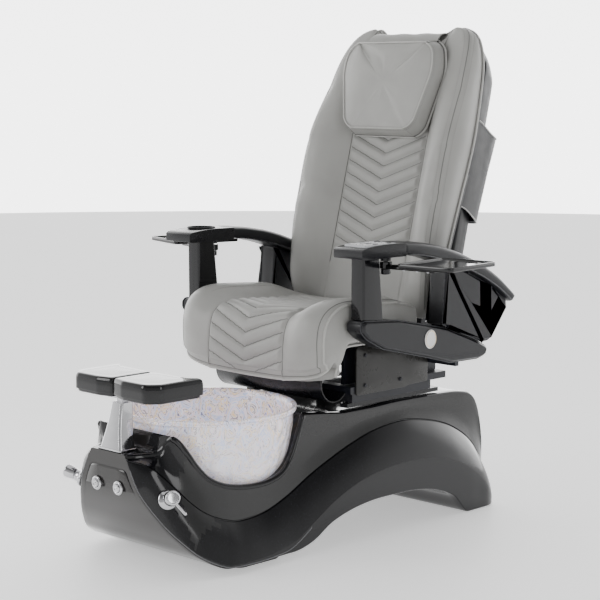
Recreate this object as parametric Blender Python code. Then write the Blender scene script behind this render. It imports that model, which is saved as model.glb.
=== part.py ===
"""Pedicure spa chair: a reclining massage chair on a moulded base with a foot bowl.

Frame: +X is the sitter's left, -Y is the front (foot bowl and footrest), +Z is up.
The origin is on the floor, under the centre of the bounding box. Units are metres.
Every moving body hangs on an empty that lies on its joint's axis.
"""
import math

import bmesh
import bpy
from mathutils import Matrix, Vector

# ---- driving dimensions -------------------------------------------------------------
GAP = 0.0004                # clearance between neighbouring solids
BASE_WALL = 0.006

BOWL_Y, BOWL_RIM_Z, BOWL_RIM_R = -0.312, 0.405, 0.255
BOWL_BOTTOM_Z, BOWL_WALL = 0.158, 0.006

RECLINE_Y, RECLINE_Z = 0.400, 0.520
BACK_TILT = math.radians(14.5)

ARM_X = 0.344               # centre plane of an arm
ARM_HINGE_Y, ARM_HINGE_Z = 0.448, 0.540
TRAY_PIVOT_X, TRAY_PIVOT_Y, TRAY_TOP_Z = 0.350, 0.040, 0.805
TRAY_WIDTH, TRAY_LENGTH = 0.176, 0.220
TRAY_TURN = {"left": math.radians(6.0), "right": math.radians(-15.0)}

FOOTREST_Y, FOOTREST_TOP_Z = -0.555, 0.519
VALVE_X, VALVE_Y, VALVE_Z = 0.176, -0.600, 0.214
VALVE_AXIS = Vector((0.87, -0.35, 0.33)).normalized()
JET_X, JET_Z = 0.044, 0.232
SIDES = (("left", 1.0), ("right", -1.0))

for leftover in list(bpy.data.objects):
    bpy.data.objects.remove(leftover, do_unlink=True)

# ---- materials ----------------------------------------------------------------------
FINISHES = {
    "gloss_black": ((0.018, 0.018, 0.020), 0.12, 0.0),
    "satin_black": ((0.035, 0.035, 0.038), 0.45, 0.0),
    "grey_leather": ((0.36, 0.36, 0.345), 0.42, 0.0),
    "black_leather": ((0.022, 0.023, 0.027), 0.38, 0.0),
    "chrome": ((0.80, 0.80, 0.82), 0.08, 1.0),
    "painted_steel": ((0.05, 0.05, 0.055), 0.50, 0.6),
    "bright_steel": ((0.62, 0.62, 0.64), 0.30, 1.0),
    "crystal_glass": ((0.90, 0.88, 0.95), 0.06, 0.0),
    "white_badge": ((0.86, 0.86, 0.84), 0.25, 0.0),
    "keypad": ((0.72, 0.73, 0.74), 0.35, 0.0),
    "dark_rubber": ((0.03, 0.03, 0.03), 0.80, 0.0),
}


def material_for(node, finish):
    """One Principled material per node, with the finish's colour, roughness and metallic value."""
    colour, roughness, metallic = FINISHES[finish]
    made = bpy.data.materials.new(f"{node}_{finish}")
    made.use_nodes = True
    shader = made.node_tree.nodes["Principled BSDF"]
    shader.inputs["Base Color"].default_value = (*colour, 1.0)
    shader.inputs["Roughness"].default_value = roughness
    shader.inputs["Metallic"].default_value = metallic
    return made


# ---- bodies -------------------------------------------------------------------------
def make_body(name, location=(0, 0, 0), tilt=0.0):
    """An empty on the body's joint axis. Its pieces are modelled round it and parented to it."""
    empty = bpy.data.objects.new(f"body_{name}", None)
    empty.location = location
    empty.rotation_euler = (tilt, 0, 0)
    bpy.context.scene.collection.objects.link(empty)
    return empty


BODIES = {
    "root": make_body("root"),
    "seat": make_body("seat"),
    "back": make_body("back", (0, RECLINE_Y, RECLINE_Z), -BACK_TILT),
    "footrest": make_body("footrest", (0, FOOTREST_Y, 0)),
}


def add(name, mesh_data, finish, body="root", placed=False, smooth=30):
    """Links one closed solid as a node. A placed solid is already in its body's own frame."""
    empty = BODIES[body]
    bm = mesh_data
    if not placed:
        inverse = Matrix.LocRotScale(empty.location, empty.rotation_euler, None).inverted()
        bmesh.ops.transform(bm, matrix=inverse, verts=bm.verts)
    bmesh.ops.recalc_face_normals(bm, faces=bm.faces)
    mesh = bpy.data.meshes.new(name)
    bm.to_mesh(mesh)
    bm.free()
    mesh.shade_smooth()
    mesh.set_sharp_from_angle(angle=math.radians(smooth))
    node = bpy.data.objects.new(name, mesh)
    node.parent = empty
    node.data.materials.append(material_for(name, finish))
    bpy.context.scene.collection.objects.link(node)
    return node


# ---- shape helpers ------------------------------------------------------------------
def loft(sections, ring=False):
    """A closed solid through equal-length closed sections. ring joins the last to the first."""
    bm = bmesh.new()
    rows = [[bm.verts.new(p) for p in section] for section in sections]
    count = len(rows[0])
    pairs = list(zip(rows, rows[1:]))
    if ring:
        pairs.append((rows[-1], rows[0]))
    for a, b in pairs:
        for i in range(count):
            j = (i + 1) % count
            bm.faces.new((a[i], a[j], b[j], b[i]))
    if not ring:
        bm.faces.new(list(reversed(rows[0])))
        bm.faces.new(rows[-1])
    return bm


def rounded(points, radius, steps=3):
    """The outline with each corner replaced by an arc that touches both of its sides."""
    result = []
    count = len(points)
    for i, corner in enumerate(points):
        corner = Vector(corner)
        before = Vector(points[i - 1]) - corner
        after = Vector(points[(i + 1) % count]) - corner
        half = before.angle(after) / 2
        reach = min(radius / math.tan(half), before.length * 0.48, after.length * 0.48)
        arc_radius = reach * math.tan(half)
        start = corner + before.normalized() * reach
        end = corner + after.normalized() * reach
        bisector = (before.normalized() + after.normalized()).normalized()
        centre = corner + bisector * (arc_radius / math.sin(half))
        for k in range(steps + 1):
            t = k / steps
            spoke = (start - centre).lerp(end - centre, t)
            result.append(centre + spoke.normalized() * arc_radius)
    return [tuple(p) for p in result]


def prism(outline, low, high, axis="X"):
    """The 2-D outline extruded along an axis. Outline pairs are (y, z), (x, z) or (x, y)."""
    place = {
        "X": lambda a, b, t: (t, a, b),
        "Y": lambda a, b, t: (a, t, b),
        "Z": lambda a, b, t: (a, b, t),
    }[axis]
    return loft([[place(a, b, t) for a, b in outline] for t in (low, high)])


def bevelled(bm, width, segments=2, angle=30):
    """Rounds the edges that are sharper than the angle."""
    edges = [e for e in bm.edges if e.calc_face_angle(0) > math.radians(angle)]
    bmesh.ops.bevel(
        bm, geom=edges, offset=width, segments=segments, affect="EDGES", clamp_overlap=True
    )
    return bm


def block(low, high, bevel=0.0, segments=2):
    """A box between two corners, with its edges rounded."""
    (x0, y0, z0), (x1, y1, z1) = low, high
    bm = prism([(y0, z0), (y1, z0), (y1, z1), (y0, z1)], x0, x1)
    return bevelled(bm, bevel, segments) if bevel else bm


def turned(profile, steps=24, closed=False, centre=(0, 0, 0), axis=(0, 0, 1)):
    """A turned solid. An open profile runs from the axis to the axis; a closed one makes a ring."""
    bm = bmesh.new()
    rings = []
    for r, z in profile:
        if r < 1e-6:
            rings.append([bm.verts.new((0, 0, z))])
            continue
        turn = [2 * math.pi * k / steps for k in range(steps)]
        rings.append([bm.verts.new((r * math.cos(a), r * math.sin(a), z)) for a in turn])
    pairs = list(zip(rings, rings[1:]))
    if closed:
        pairs.append((rings[-1], rings[0]))
    for a, b in pairs:
        for i in range(steps):
            j = (i + 1) % steps
            if len(a) == 1:
                bm.faces.new((a[0], b[j], b[i]))
            elif len(b) == 1:
                bm.faces.new((a[i], a[j], b[0]))
            else:
                bm.faces.new((a[i], a[j], b[j], b[i]))
    turn_to = Vector((0, 0, 1)).rotation_difference(Vector(axis)).to_matrix().to_4x4()
    bmesh.ops.transform(bm, matrix=Matrix.Translation(centre) @ turn_to, verts=bm.verts)
    return bm


def rod(start, end, radius, steps=16):
    """A round bar from start to end."""
    run = Vector(end) - Vector(start)
    profile = [(0, 0), (radius, 0), (radius, run.length), (0, run.length)]
    return turned(profile, steps, centre=start, axis=run)


def moved(bm, matrix):
    bmesh.ops.transform(bm, matrix=matrix, verts=bm.verts)
    return bm


def mirrored(bm, side):
    """The solid flipped to the other side of X = 0 when side is negative."""
    if side < 0:
        bmesh.ops.scale(bm, vec=(-1, 1, 1), verts=bm.verts)
        bmesh.ops.reverse_faces(bm, faces=bm.faces)
    return bm


def scratch_object(name, bm):
    bmesh.ops.recalc_face_normals(bm, faces=bm.faces)
    mesh = bpy.data.meshes.new(name)
    bm.to_mesh(mesh)
    bm.free()
    made = bpy.data.objects.new(name, mesh)
    bpy.context.scene.collection.objects.link(made)
    return made


def combined(first, *others):
    """Boolean results in order: each other is (operation, solid), such as ("DIFFERENCE", bm)."""
    result = scratch_object("scratch", first)
    for operation, solid in others:
        tool = scratch_object("tool", solid)
        modifier = result.modifiers.new("cut", "BOOLEAN")
        modifier.operation = operation
        modifier.object = tool
        evaluated = result.evaluated_get(bpy.context.evaluated_depsgraph_get())
        mesh = bpy.data.meshes.new_from_object(evaluated)
        result.modifiers.clear()
        result.data = mesh
        bpy.data.objects.remove(tool, do_unlink=True)
    bm = bmesh.new()
    bm.from_mesh(result.data)
    bpy.data.objects.remove(result, do_unlink=True)
    bmesh.ops.remove_doubles(bm, verts=bm.verts, dist=0.00002)
    bmesh.ops.dissolve_degenerate(bm, edges=bm.edges, dist=0.00002)
    bmesh.ops.triangulate(bm, faces=[f for f in bm.faces if len(f.verts) > 4])
    return bm


def between(knots, t):
    """Smooth value at t through (t, value) knots, with no overshoot at a level stretch."""
    if t <= knots[0][0]:
        return knots[0][1]
    for i in range(len(knots) - 1):
        (t0, v0), (t1, v1) = knots[i], knots[i + 1]
        if t <= t1:
            slope = (v1 - v0) / (t1 - t0)
            before = (v0 - knots[i - 1][1]) / (t0 - knots[i - 1][0]) if i else slope
            last = i + 2 >= len(knots)
            after = slope if last else (knots[i + 2][1] - v1) / (knots[i + 2][0] - t1)
            m0 = (slope + before) / 2 if slope * before > 0 else 0.0
            m1 = (slope + after) / 2 if slope * after > 0 else 0.0
            limit = 3 * abs(slope)
            m0 = max(-limit, min(limit, m0))
            m1 = max(-limit, min(limit, m1))
            u, h = (t - t0) / (t1 - t0), t1 - t0
            return (
                v0 * (2 * u**3 - 3 * u**2 + 1)
                + h * m0 * (u**3 - 2 * u**2 + u)
                + v1 * (3 * u**2 - 2 * u**3)
                + h * m1 * (u**3 - u**2)
            )
    return knots[-1][1]


# ---- base ---------------------------------------------------------------------------
# Each station is a slanted slice of the base, from the front top edge to the rear foot.
# edge: outer edge of the dark side band (x, y, z); bottom: underside height below that edge;
# crease: upper edge of the band (x, y, z); top: rim of the upper surface (x, y, z).
BASE_STATIONS = [
    ((0.081, -0.655, 0.304), 0.298, (0.080, -0.655, 0.308), (0.072, -0.655, 0.324)),
    ((0.118, -0.650, 0.232), 0.226, (0.132, -0.618, 0.290), (0.112, -0.584, 0.326)),
    ((0.167, -0.614, 0.152), 0.147, (0.172, -0.570, 0.235), (0.150, -0.562, 0.370)),
    ((0.207, -0.576, 0.098), 0.093, (0.194, -0.535, 0.193), (0.176, -0.535, 0.384)),
    ((0.241, -0.534, 0.056), 0.052, (0.210, -0.495, 0.160), (0.194, -0.500, 0.386)),
    ((0.266, -0.465, 0.024), 0.0205, (0.222, -0.440, 0.136), (0.209, -0.450, 0.386)),
    ((0.273, -0.400, 0.022), 0.0205, (0.226, -0.385, 0.127), (0.214, -0.390, 0.386)),
    ((0.274, -0.320, 0.024), 0.0205, (0.228, -0.300, 0.135), (0.216, -0.310, 0.386)),
    ((0.274, -0.240, 0.036), 0.0205, (0.229, -0.215, 0.165), (0.217, -0.240, 0.386)),
    ((0.274, -0.160, 0.082), 0.036, (0.229, -0.130, 0.207), (0.218, -0.160, 0.384)),
    ((0.274, -0.080, 0.129), 0.077, (0.229, -0.050, 0.240), (0.218, -0.070, 0.376)),
    ((0.274, 0.020, 0.168), 0.102, (0.229, 0.040, 0.272), (0.219, 0.030, 0.366)),
    ((0.274, 0.130, 0.188), 0.111, (0.229, 0.140, 0.298), (0.219, 0.135, 0.366)),
    ((0.274, 0.240, 0.194), 0.110, (0.229, 0.250, 0.308), (0.219, 0.245, 0.369)),
    ((0.274, 0.350, 0.186), 0.095, (0.229, 0.360, 0.294), (0.219, 0.355, 0.368)),
    ((0.274, 0.440, 0.164), 0.061, (0.229, 0.455, 0.268), (0.219, 0.450, 0.365)),
    ((0.274, 0.510, 0.132), 0.0, (0.229, 0.530, 0.230), (0.219, 0.530, 0.360)),
    ((0.273, 0.562, 0.100), 0.0, (0.229, 0.580, 0.190), (0.217, 0.585, 0.345)),
    ((0.272, 0.603, 0.064), 0.0, (0.227, 0.618, 0.140), (0.214, 0.620, 0.300)),
    ((0.264, 0.632, 0.034), 0.0, (0.224, 0.642, 0.088), (0.210, 0.645, 0.210)),
    ((0.250, 0.650, 0.018), 0.0, (0.216, 0.654, 0.045), (0.202, 0.655, 0.110)),
]
NOTCH = [
    (-0.640, 0.420), (-0.602, 0.400), (-0.578, 0.382), (-0.552, 0.362), (-0.530, 0.327),
    (-0.508, 0.290), (-0.478, 0.256), (-0.440, 0.235), (-0.390, 0.222), (-0.330, 0.216),
    (-0.270, 0.219), (-0.222, 0.236), (-0.188, 0.270), (-0.166, 0.312), (-0.150, 0.354),
    (-0.134, 0.420),
]
BOWL_OUTSIDE = [
    (0.245, 0.380), (0.238, 0.320), (0.224, 0.265), (0.196, 0.214), (0.150, 0.180), (0.085, 0.163),
]
FOOT_OPENING = (-0.410, -0.250)   # the stretch of the underside that is open to the floor


def base_section(station, inset):
    """One closed slice: across the top, down the left side, across the bottom and up the right."""
    (ex, ey, ez), bottom, (cx, cy, cz), (tx, ty, tz) = station
    open_below = inset > 0 and FOOT_OPENING[0] < ey < FOOT_OPENING[1]
    floor = -0.02 if open_below else bottom + inset
    edge_z = max(ez, floor + 0.001)
    wall_in, shoulder = inset, 0.010
    half = [
        (tx * 0.5, ty, tz - inset),
        (tx - shoulder - wall_in, ty, tz - inset),
        (tx - wall_in, ty, tz - shoulder - inset),
        (cx - wall_in, cy, cz),
        ((cx * 0.45 + ex * 0.55) - wall_in, (cy + ey) / 2, (cz * 0.42 + ez * 0.58)),
        (ex - wall_in, ey, edge_z),
        (ex - wall_in, ey, floor),
        (ex * 0.5, ey, floor),
    ]
    other = [(-x, y, z) for x, y, z in reversed(half)]
    return half + other


def base_solid(inset=0.0):
    stations = BASE_STATIONS if not inset else BASE_STATIONS[1:-1]
    sections = [base_section(s, inset) for s in stations]
    if inset:
        ends = (sections[0], sections[-1])
        for end, shift in zip(ends, (inset, -inset)):
            end[:] = [(x, y + shift, z) for x, y, z in end]
    return loft(sections)


def grown_outline(outline, amount):
    """The open outline moved outward (down and away from its middle) by the amount."""
    grown = []
    for i, (y, z) in enumerate(outline):
        y0, z0 = outline[max(i - 1, 0)]
        y1, z1 = outline[min(i + 1, len(outline) - 1)]
        run = Vector((y1 - y0, z1 - z0)).normalized()
        grown.append((y + run.y * amount, z - run.x * amount))
    return grown


def bowl_seat(amount):
    """The space that the bowl and the side cut-outs take from the base, grown by the amount."""
    notch = prism(grown_outline(NOTCH, amount), -0.40, 0.40)
    clearance = 0.004 + amount
    profile = [(0, BOWL_BOTTOM_Z - clearance)]
    profile += [(r + clearance, z - clearance * 0.5) for r, z in reversed(BOWL_OUTSIDE)]
    profile += [(0.252 + amount, 0.50), (0, 0.50)]
    well = turned(profile, 32, centre=(0, BOWL_Y, 0))
    return notch, well


def make_base_shell():
    notch, well = bowl_seat(0.0)
    notch_wall, well_wall = bowl_seat(BASE_WALL)
    inside = combined(
        base_solid(BASE_WALL), ("DIFFERENCE", notch_wall), ("DIFFERENCE", well_wall)
    )
    drain_hole = rod((0, BOWL_Y, 0.10), (0, BOWL_Y, 0.20), 0.050, 20)
    shell = combined(
        base_solid(),
        ("DIFFERENCE", notch),
        ("DIFFERENCE", well),
        ("DIFFERENCE", inside),
        ("DIFFERENCE", drain_hole),
    )
    add("base_shell", shell, "gloss_black")


def front_y(z):
    """Depth of the front face at a height: near upright at the top, turned under at the foot."""
    knots = [(s[0][2], s[0][1]) for s in reversed(BASE_STATIONS[:6])]
    return between(knots, z)


def front_half_width(z):
    knots = [(s[0][2], s[0][0]) for s in reversed(BASE_STATIONS[:6])]
    return between(knots, z)


def make_access_panel():
    top, bottom, steps, thick, margin = 0.284, 0.128, 8, 0.0025, 0.020
    sections = []
    for k in range(steps + 1):
        z = bottom + (top - bottom) * k / steps
        half = front_half_width(z) - margin
        back = front_y(z) - 0.0016 - 0.0032 * (1 - k / steps)
        sections.append(
            [(-half, back, z), (half, back, z), (half, back - thick, z), (-half, back - thick, z)]
        )
    panel = loft(sections)
    holes = [
        ("DIFFERENCE", rod((side * JET_X, -0.70, JET_Z), (side * JET_X, -0.60, JET_Z), 0.0125, 20))
        for _, side in SIDES
    ]
    add("access_panel", combined(panel, *holes), "gloss_black")


def make_jet_controls():
    face = front_y(JET_Z) - 0.0060
    for name, side in SIDES:
        centre = (side * JET_X, face, JET_Z)
        bezel = [
            (0.0093, -0.0046), (0.0118, -0.0046), (0.0118, 0.0012), (0.0142, 0.0012),
            (0.0142, 0.0034), (0.0125, 0.0052), (0.0093, 0.0052),
        ]
        add(
            f"jet_bezel_{name}",
            turned(bezel, 24, closed=True, centre=centre, axis=(0, -1, 0)),
            "chrome",
        )
        BODIES[f"jet_button_{name}"] = make_body(f"jet_button_{name}", centre)
        cap = [(0, 0.0005), (0.0088, 0.0005), (0.0088, 0.0080), (0.0074, 0.0092), (0, 0.0096)]
        add(
            f"jet_button_{name}",
            turned(cap, 24, centre=centre, axis=(0, -1, 0)),
            "chrome",
            f"jet_button_{name}",
        )


def make_toe_kick():
    add("toe_kick", block((-0.262, -0.452, 0), (0.262, -0.232, 0.0200), 0.003, 1), "satin_black")


def make_base_frame():
    low, high = 0.1176, 0.3586
    outer = [(-0.185, low), (-0.185, high), (0.185, high), (0.185, low)]
    inner = [(0.160, low), (0.160, high - 0.025), (-0.160, high - 0.025), (-0.160, low)]
    add("base_frame", prism(outer + inner, 0.030, 0.440, "Y"), "painted_steel")


# ---- bowl, drain and water fittings -------------------------------------------------
def make_bowl():
    z = BOWL_RIM_Z
    outside = [(0.030, BOWL_BOTTOM_Z)] + [(r, h) for r, h in reversed(BOWL_OUTSIDE)]
    lip = [(0.247, z - 0.019), (0.253, z - 0.015), (BOWL_RIM_R, z - 0.006), (0.252, z), (0.242, z)]
    inside = [(r - BOWL_WALL, h + BOWL_WALL * 0.6) for r, h in BOWL_OUTSIDE]
    floor = [(0.030, BOWL_BOTTOM_Z + BOWL_WALL)]
    profile = outside + lip + inside + floor
    add("glass_bowl", turned(profile, 40, closed=True, centre=(0, BOWL_Y, 0)), "crystal_glass")


def make_drain():
    centre = (0, BOWL_Y, BOWL_BOTTOM_Z)
    top = BOWL_WALL + GAP
    flange = [  # a cup closed at its foot, where the waste pipe would join from the side
        (0, -0.040), (0.0290, -0.040), (0.0290, top), (0.0370, top), (0.0370, top + 0.003),
        (0.0235, top + 0.003), (0.0170, top - 0.002), (0.0170, -0.0345), (0, -0.0345),
    ]
    add("drain_flange", turned(flange, 24, centre=centre), "chrome")
    BODIES["drain_stopper"] = make_body("drain_stopper", centre)
    lift = top + 0.0034
    stopper = [
        (0, -0.030), (0.0060, -0.030), (0.0060, top - 0.001), (0.0150, top - 0.001), (0.0165, lift),
        (0.0220, lift), (0.0200, lift + 0.005), (0, lift + 0.008),
    ]
    add("drain_stopper", turned(stopper, 24, centre=centre), "chrome", "drain_stopper")


def make_valve():
    seat = Vector((VALVE_X, VALVE_Y, VALVE_Z))
    flange = [
        (0, -0.004), (0.026, -0.004), (0.026, 0.004), (0.020, 0.010), (0.012, 0.012), (0, 0.012),
    ]
    add("valve_flange", turned(flange, 28, centre=seat, axis=VALVE_AXIS), "chrome")
    BODIES["valve_stem"] = make_body("valve_stem", seat)
    stem = [(0, 0.0124), (0.0080, 0.0124), (0.0080, 0.0290), (0.0050, 0.0310), (0, 0.0310)]
    add("valve_stem", turned(stem, 20, centre=seat, axis=VALVE_AXIS), "chrome", "valve_stem")
    pivot = seat + VALVE_AXIS * 0.027
    BODIES["valve_handle"] = make_body("valve_handle", pivot)
    cap = [
        (0, 0.0330), (0.0110, 0.0330), (0.0110, 0.0200), (0.0170, 0.0200), (0.0185, 0.0225),
        (0.0185, 0.0420), (0.0165, 0.0440), (0, 0.0440),
    ]
    hang = Vector((0, -0.25, -1))
    down = (hang - VALVE_AXIS * hang.dot(VALVE_AXIS)).normalized()
    across = seat + VALVE_AXIS * 0.0320 + down * 0.013
    lever = rod(across, across + down * 0.044 + VALVE_AXIS * 0.004, 0.0042, 12)
    handle = combined(turned(cap, 24, centre=seat, axis=VALVE_AXIS), ("UNION", lever))
    add("valve_handle", handle, "chrome", "valve_handle")


def make_hand_shower():
    axis = Vector((-VALVE_AXIS.x, VALVE_AXIS.y, VALVE_AXIS.z))
    seat = Vector((-VALVE_X, VALVE_Y, VALVE_Z))
    holder = [
        (0.0114, -0.004), (0.0230, -0.004), (0.0230, 0.003), (0.0175, 0.009), (0.0160, 0.020),
        (0.0114, 0.020),
    ]
    add("spray_holder", turned(holder, 24, closed=True, centre=seat, axis=axis), "chrome")
    BODIES["hand_shower"] = make_body("hand_shower", seat)
    shower = [
        (0, 0.000), (0.0108, 0.000), (0.0108, 0.0215), (0.0150, 0.0240), (0.0175, 0.0330),
        (0.0185, 0.0500), (0.0170, 0.0540), (0, 0.0540),
    ]
    add("hand_shower", turned(shower, 24, centre=seat, axis=axis), "chrome", "hand_shower")


# ---- footrest -----------------------------------------------------------------------
SHROUD_BOTTOM_Z, SHROUD_TOP_Z = 0.3270, 0.4480


def make_footrest():
    def ring(y0, y1, half, z):
        return [(-half, y0, z), (half, y0, z), (half, y1, z), (-half, y1, z)]

    outer = [
        ring(-0.648, -0.594, 0.042, SHROUD_BOTTOM_Z),
        ring(-0.636, -0.590, 0.030, 0.375),
        ring(-0.624, -0.580, 0.022, SHROUD_TOP_Z),
    ]
    bore = block((-0.0125, -0.6125, 0.30), (0.0125, -0.5925, 0.46))
    add("footrest_shroud", combined(loft(outer), ("DIFFERENCE", bore)), "chrome", smooth=20)
    top = FOOTREST_TOP_Z - 0.054 - GAP
    column = block((-0.0120, -0.6120, 0.3290), (0.0120, -0.5930, top - 0.006))
    head = block((-0.105, -0.616, top - 0.0065), (0.105, -0.520, top), 0.002, 1)
    add("footrest_column", combined(column, ("UNION", head)), "painted_steel", "footrest")
    for name, side in SIDES:
        front, rear, outer_x, inner_x = -0.634, -0.484, 0.172, 0.0015
        outline = [
            (inner_x, front + 0.012), (0.050, front), (outer_x - 0.030, front),
            (outer_x, front + 0.035), (outer_x + 0.002, rear + 0.035), (outer_x - 0.028, rear),
            (0.050, rear), (inner_x, rear - 0.006),
        ]
        plan = rounded(outline, 0.030, 3)
        heights = (
            (FOOTREST_TOP_Z - 0.054, 0.955), (FOOTREST_TOP_Z - 0.050, 0.985),
            (FOOTREST_TOP_Z - 0.014, 1.0), (FOOTREST_TOP_Z - 0.004, 0.965), (FOOTREST_TOP_Z, 0.90),
        )
        mid_x, mid_y = (outer_x + inner_x) / 2, (front + rear) / 2
        sections = [
            [(mid_x + (x - mid_x) * k, mid_y + (y - mid_y) * k, z) for x, y in plan]
            for z, k in heights
        ]
        add(f"footrest_pad_{name}", mirrored(loft(sections), side), "gloss_black", "footrest")


# ---- seat carriage ------------------------------------------------------------------
def make_rails():
    for name, side in SIDES:
        rail = block((0.176, 0.045, 0.3705), (0.206, 0.440, 0.3825), 0.002, 1)
        add(f"slide_rail_{name}", mirrored(rail, side), "bright_steel")
    motor = [(0.0, 0.0), (0.020, 0.0), (0.020, 0.110), (0.010, 0.112), (0.010, 0.230), (0, 0.230)]
    body = turned(motor, 16, centre=(0, 0.150, 0.3910), axis=(0, 1, 0))
    feet = ("UNION", block((-0.030, 0.160, 0.3705), (0.030, 0.240, 0.3800)))
    add("slide_motor", combined(body, feet), "painted_steel")


def make_carriage():
    plate = block((-0.2346, 0.0268, 0.4150), (0.2346, 0.440, 0.4350))
    window = block((-0.165, 0.060, 0.40), (0.165, 0.380, 0.45))
    tools = [("DIFFERENCE", window)]
    for _, side in SIDES:
        ear = rounded([(0.372, 0.430), (0.428, 0.430), (0.424, 0.545), (0.376, 0.545)], 0.014, 3)
        tools.append(("UNION", mirrored(prism(ear, 0.196, 0.206), side)))
        shoe = block((0.172, 0.060, 0.3838), (0.210, 0.400, 0.4152))
        tools.append(("UNION", mirrored(shoe, side)))
    bore = rod((-0.25, RECLINE_Y, RECLINE_Z), (0.25, RECLINE_Y, RECLINE_Z), 0.0124, 20)
    tools.append(("DIFFERENCE", bore))
    add("carriage_frame", combined(plate, *tools), "painted_steel", "seat")
    shaft = rod((-0.214, RECLINE_Y, RECLINE_Z), (0.214, RECLINE_Y, RECLINE_Z), 0.0120, 20)
    add("recline_shaft", shaft, "bright_steel", "seat")
    crossbar = block((-0.340, 0.3560, 0.4700), (0.340, 0.3716, 0.4884), 0.002, 1)
    add("arm_crossbar", crossbar, "painted_steel", "seat")


def make_front_skirt():
    centre_y, centre_z, radius, wall, steps = -0.016, 0.452, 0.055, 0.003, 12
    outside, inside = [], []
    for k in range(steps + 1):
        angle = math.radians(78 + 242 * k / steps)
        run = Vector((math.cos(angle), math.sin(angle)))
        outside.append((centre_y + run.x * radius, centre_z + run.y * radius))
        inside.append((centre_y + run.x * (radius - wall), centre_z + run.y * (radius - wall)))
    add("front_skirt", prism(outside + inside[::-1], -0.214, 0.214), "satin_black", "seat")


def make_side_covers():
    outline = [
        (0.046, 0.4100), (0.250, 0.4100), (0.266, 0.4140), (0.352, 0.4160), (0.352, 0.5480),
        (0.046, 0.5480),
    ]
    for name, side in SIDES:
        cover = mirrored(prism(outline, 0.2350, 0.2400), side)
        add(f"side_cover_{name}", cover, "satin_black", "seat")


def make_seat_pan():
    pan = block((-0.225, -0.090, 0.5500), (0.225, 0.300, 0.5620), 0.003, 1)
    legs = [
        ("UNION", mirrored(block((0.176, 0.050, 0.4354), (0.188, 0.290, 0.5510)), side))
        for _, side in SIDES
    ]
    add("seat_pan", combined(pan, *legs), "painted_steel", "seat")
    body = rod((0, 0.090, 0.5230), (0, 0.262, 0.5230), 0.0240, 16)
    ram = ("UNION", rod((0, 0.250, 0.5230), (0, 0.330, 0.5230), 0.0090, 16))
    add("recline_actuator", combined(body, ram), "painted_steel", "seat")


SEAT_SECTIONS = [
    # y, half width, bottom z, centre top z, bolster top z
    (-0.158, 0.214, 0.500, 0.590, 0.590),
    (-0.150, 0.256, 0.472, 0.632, 0.630),
    (-0.130, 0.282, 0.463, 0.650, 0.660),
    (-0.104, 0.292, 0.466, 0.656, 0.680),
    (-0.094, 0.293, 0.5635, 0.657, 0.684),
    (0.000, 0.296, 0.5635, 0.650, 0.696),
    (0.120, 0.292, 0.5635, 0.645, 0.690),
    (0.220, 0.282, 0.5635, 0.645, 0.668),
    (0.262, 0.272, 0.5660, 0.640, 0.640),
]


def make_seat_cushion():
    sections = []
    for y, half, low, centre, bolster in SEAT_SECTIONS:
        side = (low + bolster) / 2
        right = [
            (0, centre), (half * 0.50, centre + (bolster - centre) * 0.05),
            (half * 0.72, centre + (bolster - centre) * 0.80), (half * 0.86, bolster),
            (half * 0.97, bolster - (bolster - side) * 0.35), (half, side),
            (half * 0.985, low + (side - low) * 0.25), (half * 0.93, low), (half * 0.5, low), (0, low),
        ]
        left = [(-x, z) for x, z in reversed(right[1:-1])]
        sections.append([(x, y, z) for x, z in right + left])
    add("seat_cushion", loft(sections), "grey_leather", "seat", smooth=60)


# ---- arms ---------------------------------------------------------------------------
LOWER_PANEL = [
    (-0.070, 0.6440), (0.080, 0.6330), (0.282, 0.5920), (0.440, 0.5330), (0.470, 0.5180),
    (0.462, 0.4960), (0.430, 0.4880), (0.309, 0.4900), (0.200, 0.5180), (0.020, 0.5600),
    (-0.045, 0.5920), (-0.070, 0.6140),
]


def make_arm_base(name, side):
    inner_x, outer_x = 0.304, 0.372
    sections = []
    mid_y = sum(y for y, _ in LOWER_PANEL) / len(LOWER_PANEL)
    mid_z = sum(z for _, z in LOWER_PANEL) / len(LOWER_PANEL)
    layers = ((inner_x, 0.94), (inner_x + 0.010, 1.0), (outer_x - 0.014, 1.0), (outer_x, 0.93))
    for x, tall in layers:
        long = 0.7 + 0.3 * tall
        sections.append(
            [(x, mid_y + (y - mid_y) * long, mid_z + (z - mid_z) * tall) for y, z in LOWER_PANEL]
        )
    add(f"arm_base_{name}", mirrored(loft(sections), side), "black_leather", "seat")
    centre = (side * (outer_x + GAP), 0.206, 0.569)
    disc = [(0, 0), (0.0235, 0), (0.0235, 0.0015), (0.0215, 0.0030), (0, 0.0030)]
    add(f"badge_{name}", turned(disc, 28, centre=centre, axis=(side, 0, 0)), "white_badge", "seat")


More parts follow.
